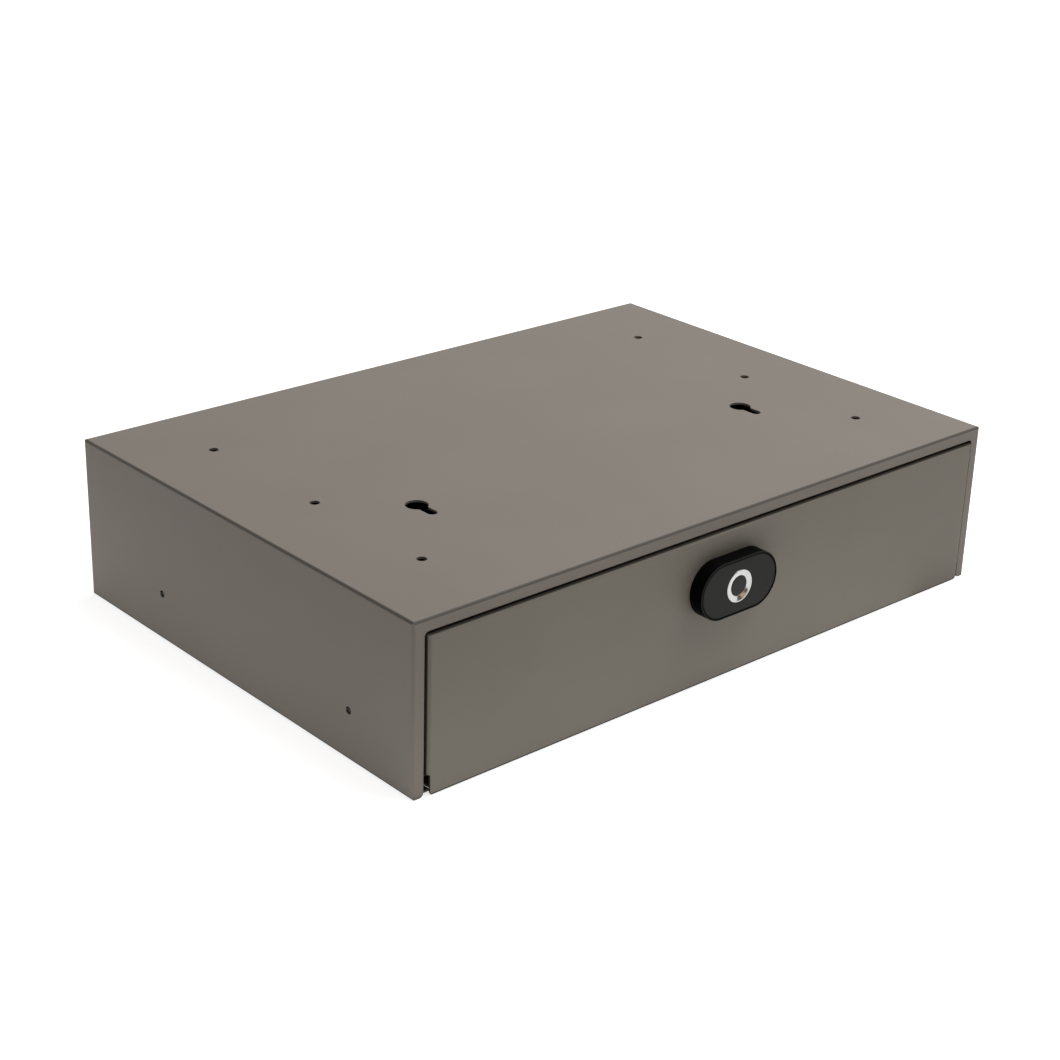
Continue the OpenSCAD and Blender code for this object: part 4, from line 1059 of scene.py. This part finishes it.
face = Finish("face_charcoal")
satin = face.spots(0.0003)
face_haze = face.spots(0.018)
face_grey = shown(39, 39, 38)
face_charcoal = face.made(
    {
        "Base Color": face.clouded(face_haze, face_grey, 0.93, 1.07),
        "Roughness": 0.5 + 0.12 * satin,
        "Specular IOR Level": 0.1,
        "Normal": face.relief(satin, depth=0.000006),
    }
)
lock_piece(
    "lock_face",
    "lock_face_plate",
    [
        round_the_pad(11.12, 1.5),
        round_the_pad(11.12, 0.45),
        round_the_pad(11.22, 0.32),
        round_the_pad(11.35, 0.3),
        round_the_pad(11.5, 0.3),
        round_the_rim(2.0, 0.3),
        round_the_rim(1.85, 0.3),
        round_the_rim(1.7, 0.34),
        round_the_rim(1.6, 0.5),
        round_the_rim(1.6, 1.5),
    ],
    face_charcoal,
)

chrome = Finish("ring_chrome")
film = chrome.spots(0.003)
turned_line = chrome.spots(0.0004)
ring_chrome = chrome.made(
    {
        "Base Color": chrome.blend(film, shown(172, 172, 171), shown(188, 188, 187)),
        "Metallic": 1.0,
        "Roughness": 0.08 + 0.06 * film + 0.04 * turned_line,
        "Normal": chrome.relief(film, depth=0.000002),
    }
)
lock_piece(
    "sensor_ring_turned",
    "sensor_ring",
    [
        round_the_pad(radius, depth)
        for radius, depth in (
            (6.95, 2.3),
            (6.95, 1.12),
            (7.0, 1.04),
            (7.12, 1.0),
            (10.0, 0.25),
            (10.2, 0.21),
            (10.45, 0.19),
            (10.7, 0.2),
            (10.9, 0.27),
            (11.0, 0.42),
            (11.0, 1.5),
            (12.0, 1.5),
            (12.0, 2.3),
        )
    ],
    ring_chrome,
    smooth_to=40.0,
)

glass = Finish("pad_glass")
grains_per_metre = 4000.0
fine_place = glass.node(
    "ShaderNodeMapping", values={"Vector": glass.place, "Scale": (grains_per_metre,) * 3}
)
grains = glass.node(
    "ShaderNodeTexVoronoi", {"feature": "F1"}, {"Vector": fine_place, "Scale": 1.0}
)
smudge = glass.spots(0.004, detail=3.0)
pad_grey = shown(40, 40, 40)
pad_glass = glass.made(
    {
        "Base Color": glass.clouded(grains, pad_grey, 0.9, 1.1),
        "Roughness": 0.36 + 0.14 * smudge,
        "Specular IOR Level": 0.12,
        "Normal": glass.relief(grains, depth=0.000003),
    }
)
pad_outline = ((3.0, 0.93), (6.2, 0.93), (6.6, 0.96), (6.75, 1.05), (6.8, 1.2), (6.8, 2.3))
pad_rings = [round_the_pad(radius, depth) for radius, depth in pad_outline]
pad_rings.insert(0, [in_the_lock(0.0, 0.0, pad_outline[0][1])])
pad_rings.append([in_the_lock(0.0, 0.0, pad_outline[-1][1])])
lock_piece(
    "sensor_pad_face",
    "sensor_pad",
    pad_rings,
    pad_glass,
    loop=False,
    smooth_to=60.0,
)

# A banded card stands before the cabinet for the ring to mirror, each band given by where
# it starts and its colour. Mirrors alone see it, and only its face. It gives no light or
# shade and isn't part of the safe.
screen_y = -0.42
screen_low = 0.003
screen_high = 0.075
screen_bands = (
    (0.062, shown(150, 146, 138)),
    (0.084, shown(74, 40, 32)),
    (0.112, shown(245, 205, 165)),
    (0.172, shown(84, 84, 84)),
    (0.200, shown(140, 140, 138)),
    (0.218, shown(60, 60, 62)),
)
screen_end = 0.25
band_edges = [start for start, _ in screen_bands] + [screen_end]
screen_mesh = bpy.data.meshes.new("studio_screen")
screen_mesh.from_pydata(
    [(x, screen_y, z) for x in band_edges for z in (screen_low, screen_high)],
    [],
    [(2 * n, 2 * n + 1, 2 * n + 3, 2 * n + 2) for n in range(len(screen_bands))],
)
screen = bpy.data.objects.new("studio_screen", screen_mesh)
for number, (_, colour) in enumerate(screen_bands):
    band_sheet = bpy.data.materials.new("screen_band")
    band_sheet.use_nodes = True
    screen_band = Nodes(band_sheet.node_tree)
    shine = screen_band.node(
        "ShaderNodeEmission", values={"Color": colour, "Strength": white_strength}
    )
    behind = screen_band.node("ShaderNodeNewGeometry", out="Backfacing")
    shine = screen_band.mixed(behind, shine, screen_band.node("ShaderNodeBsdfTransparent"))
    screen_band.node("ShaderNodeOutputMaterial", values={"Surface": shine})
    screen_mesh.materials.append(band_sheet)
    screen_mesh.polygons[number].material_index = number
for ray in ("camera", "diffuse", "transmission", "shadow", "volume_scatter"):
    setattr(screen, "visible_" + ray, False)
bpy.context.scene.collection.objects.link(screen)

lock_seat_y = -165.8
housing_screw = screw_mesh(
    "housing_screw",
    [(0.0, 2.4), (1.9, 2.4), (2.7, 2.2), (3.2, 1.7), (3.4, 1.0), (3.4, 0.0), (1.95, 0.0)],
    socket_radius=1.5,
    socket_depth=1.3,
    thread_radius=1.95,
    shank=5.6,
    pitch=0.7,
)
fasteners(
    "pan_head_housing_screws",
    "housing_screws",
    housing_screw,
    [(side * 22.0, lock_seat_y, lock_middle_z) for side in (-1, 1)],
    to_rear,
    black_steel,
    "drawer",
    seed=13,
)

# ---- Sensor board, charging socket and ribbon
# Behind the pad a small green circuit board carries the sensor and a pressed steel
# socket for emergency power, and an amber ribbon runs from it through to the lock case.
board = Finish("board_green")
tracks_per_metre = 260.0
# the tracks run in the board's upright plane, square to each other
board_place = board.node(
    "ShaderNodeMapping",
    values={
        "Vector": board.place,
        "Rotation": (math.pi / 2, 0.0, 0.0),
        "Scale": (tracks_per_metre,) * 3,
    },
)
copper = board.node(
    "ShaderNodeTexBrick",
    {"offset": 0.37, "squash": 0.7, "squash_frequency": 3},
    {"Vector": board_place, "Scale": 1.0, "Mortar Size": 0.09},
    out="Fac",
)
weave = board.spots(0.0005, detail=1.0)
solder_mask = shown(22, 84, 56)
board_tone = board.clouded(copper, solder_mask, 0.8, 1.9)
board_green = board.made(
    {
        "Base Color": board.blend(weave * 0.3, board_tone, toned(solder_mask, 0.6)),
        "Roughness": 0.3 + 0.15 * weave,
        "Coat Weight": 0.3 + 0.2 * copper,
        "Normal": board.relief(copper, depth=0.00003),
    }
)
finish_nodes(board_green, "sensor_board", "main_board")

tin = plated("socket_tin", shown(196, 197, 198), grain=0.0003, roughness=0.28)
finish_nodes(tin, "usb_socket", "battery_contacts")

ribbon = Finish("ribbon_amber")
tracks = ribbon.node(
    "ShaderNodeTexWave",
    {"wave_type": "BANDS", "bands_direction": "X", "wave_profile": "SIN"},
    {"Vector": ribbon.place, "Scale": 160.0},
    out="Fac",
)
amber = shown(196, 132, 44)
ribbon_amber = ribbon.made(
    {
        "Base Color": ribbon.blend(tracks.between(0.4, 0.6), amber, shown(150, 84, 30)),
        "Roughness": 0.3 + 0.1 * tracks,
        "Normal": ribbon.relief(tracks, depth=0.00002),
    }
)
finish_nodes(ribbon_amber, "sensor_ribbon")

# ---- Lock case and its covers
# A two part black moulded box behind the front holds the motor, the board and the cells;
# one cover is screwed on and the other slides off sideways for changing the cells.
finish_nodes(moulded_black, "lock_case", "lock_cover", "battery_holder", "battery_cover")
case_screw = screw_mesh(
    "case_screw",
    [(0.0, 2.0), (1.9, 2.0), (2.7, 1.8), (3.2, 1.3), (3.4, 0.7), (3.4, 0.0), (1.9, 0.0)],
    socket_radius=1.5,
    socket_depth=1.1,
    thread_radius=1.9,
    shank=4.0,
    pitch=0.7,
)
fasteners(
    "pan_head_case_screws",
    "case_screws",
    case_screw,
    [(side * 53.0, lock_seat_y, lock_middle_z) for side in (-1, 1)],
    to_rear,
    screw_zinc,
    "drawer",
    seed=17,
)
cover_screw = screw_mesh(
    "cover_screw",
    [(0.0, 0.6), (1.3, 0.6), (2.1, 0.45), (2.4, 0.2), (2.4, 0.0), (1.2, 0.0)],
    socket_radius=0.9,
    socket_depth=0.45,
    thread_radius=1.2,
    shank=9.0,
    pitch=0.6,
)
fasteners(
    "small_cover_screws",
    "cover_screws",
    cover_screw,
    [(across, -144.4, height) for across in (-56.0, 3.65) for height in (46.0, 94.0)],
    to_rear,
    screw_zinc,
    "drawer",
    seed=19,
)

# ---- Setup button
# A small moulded red button on the main board. It stands 0.8 mm out of a hole in the
# cover, is pressed flush to store fingerprints, and springs back.
button = Finish("button_red")
tint = button.spots(0.0008)
button_colour = shown(180, 46, 34)
button_red = button.made(
    {
        "Base Color": button.clouded(tint, button_colour, 0.9, 1.1),
        "Roughness": 0.25 + 0.1 * tint,
        "Normal": button.relief(tint, depth=0.000006),
    }
)
finish_nodes(button_red, "setup_button")

# ---- Gear motor, pinion and bolt
# A small geared motor in a steel can turns a brass pinion, which lifts the zinc plated
# steel bolt by the rack cut in its edge.
motor_can = plated(
    "motor_can", shown(182, 183, 186), grain=0.0004, stretch=(20.0, 1.0, 1.0), roughness=0.26
)
finish_nodes(motor_can, "gear_motor")
brass = plated("pinion_brass", shown(202, 168, 92), grain=0.0003, roughness=0.3)
finish_nodes(brass, "drive_pinion")
bolt_zinc = plated(
    "bolt_zinc", shown(184, 184, 180), grain=0.0004, stretch=(1.0, 1.0, 12.0), roughness=0.36
)
finish_nodes(bolt_zinc, "latch_bolt")
lead = Finish("lead_red")
lead_haze = lead.spots(0.0015)
lead_colour = shown(168, 34, 28)
lead_red = lead.made(
    {
        "Base Color": lead.clouded(lead_haze, lead_colour, 0.85, 1.1),
        "Roughness": 0.38 + 0.12 * lead_haze,
        "Normal": lead.relief(lead_haze, depth=0.00001),
    }
)
finish_nodes(lead_red, "motor_leads", "battery_leads")

# ---- Cells
# Four AAA cells lie across the case, each a rolled steel can with a raised contact, in a
# plain shrunk sleeve that leaves the ends bare.
cell_middle_x = 33.0
lowest_cell = 52.6
cell_pitch = 11.6
cell_sides = 32


def cell_mesh():
    """One cell along +Z about its middle, in millimetres."""
    outline = [
        (3.6, -22.1),
        (4.7, -22.1),
        (5.0, -21.9),
        (5.15, -21.5),
        (5.25, -21.2),
        (5.25, 20.6),
        (5.1, 20.9),
        (4.85, 21.05),
        (4.7, 21.1),
        (4.6, 20.9),
        (2.2, 20.9),
        (1.95, 21.1),
        (1.9, 22.1),
        (1.75, 22.25),
    ]
    rings = [[(0.0, 0.0, -22.15)]]
    rings.extend(round_ring(radius, height, cell_sides) for radius, height in outline)
    rings.append([(0.0, 0.0, outline[-1][1])])
    return ringed_mesh("cell", rings)


sleeve = Finish("cell_sleeve")
sleeve_end = (0.0207, 0.0209)
band_start = (0.0163, 0.0166)
along_cell = abs(sleeve.part(sleeve.place) - cell_middle_x * millimetre)
bare_end = along_cell.between(*sleeve_end)
silver_band = along_cell.between(*band_start)
sheen = sleeve.spots(0.002)
sleeve_blue = shown(62, 92, 122)
sleeve_tone = sleeve.clouded(sheen, sleeve_blue, 0.9, 1.1)
sleeve_tone = sleeve.blend(silver_band, sleeve_tone, shown(205, 206, 208))
sleeve_tone = sleeve.blend(bare_end, sleeve_tone, shown(190, 191, 193))
cell_sleeve = sleeve.made(
    {
        "Base Color": sleeve_tone,
        "Metallic": bare_end.larger(0.35 * silver_band),
        "Roughness": 0.3 + 0.12 * sheen,
        "Normal": sleeve.relief(sheen, depth=0.00001),
    }
)


def cell_way(place):
    """The cells lie head to tail."""
    number = round((place[2] - lowest_cell) / cell_pitch)
    return (1.0 if number % 2 == 0 else -1.0, 0.0, 0.0)


fasteners(
    "sleeved_cells",
    "batteries",
    cell_mesh(),
    [(cell_middle_x, -156.25, lowest_cell + cell_pitch * number) for number in range(4)],
    cell_way,
    cell_sleeve,
    "drawer",
    seed=23,
)
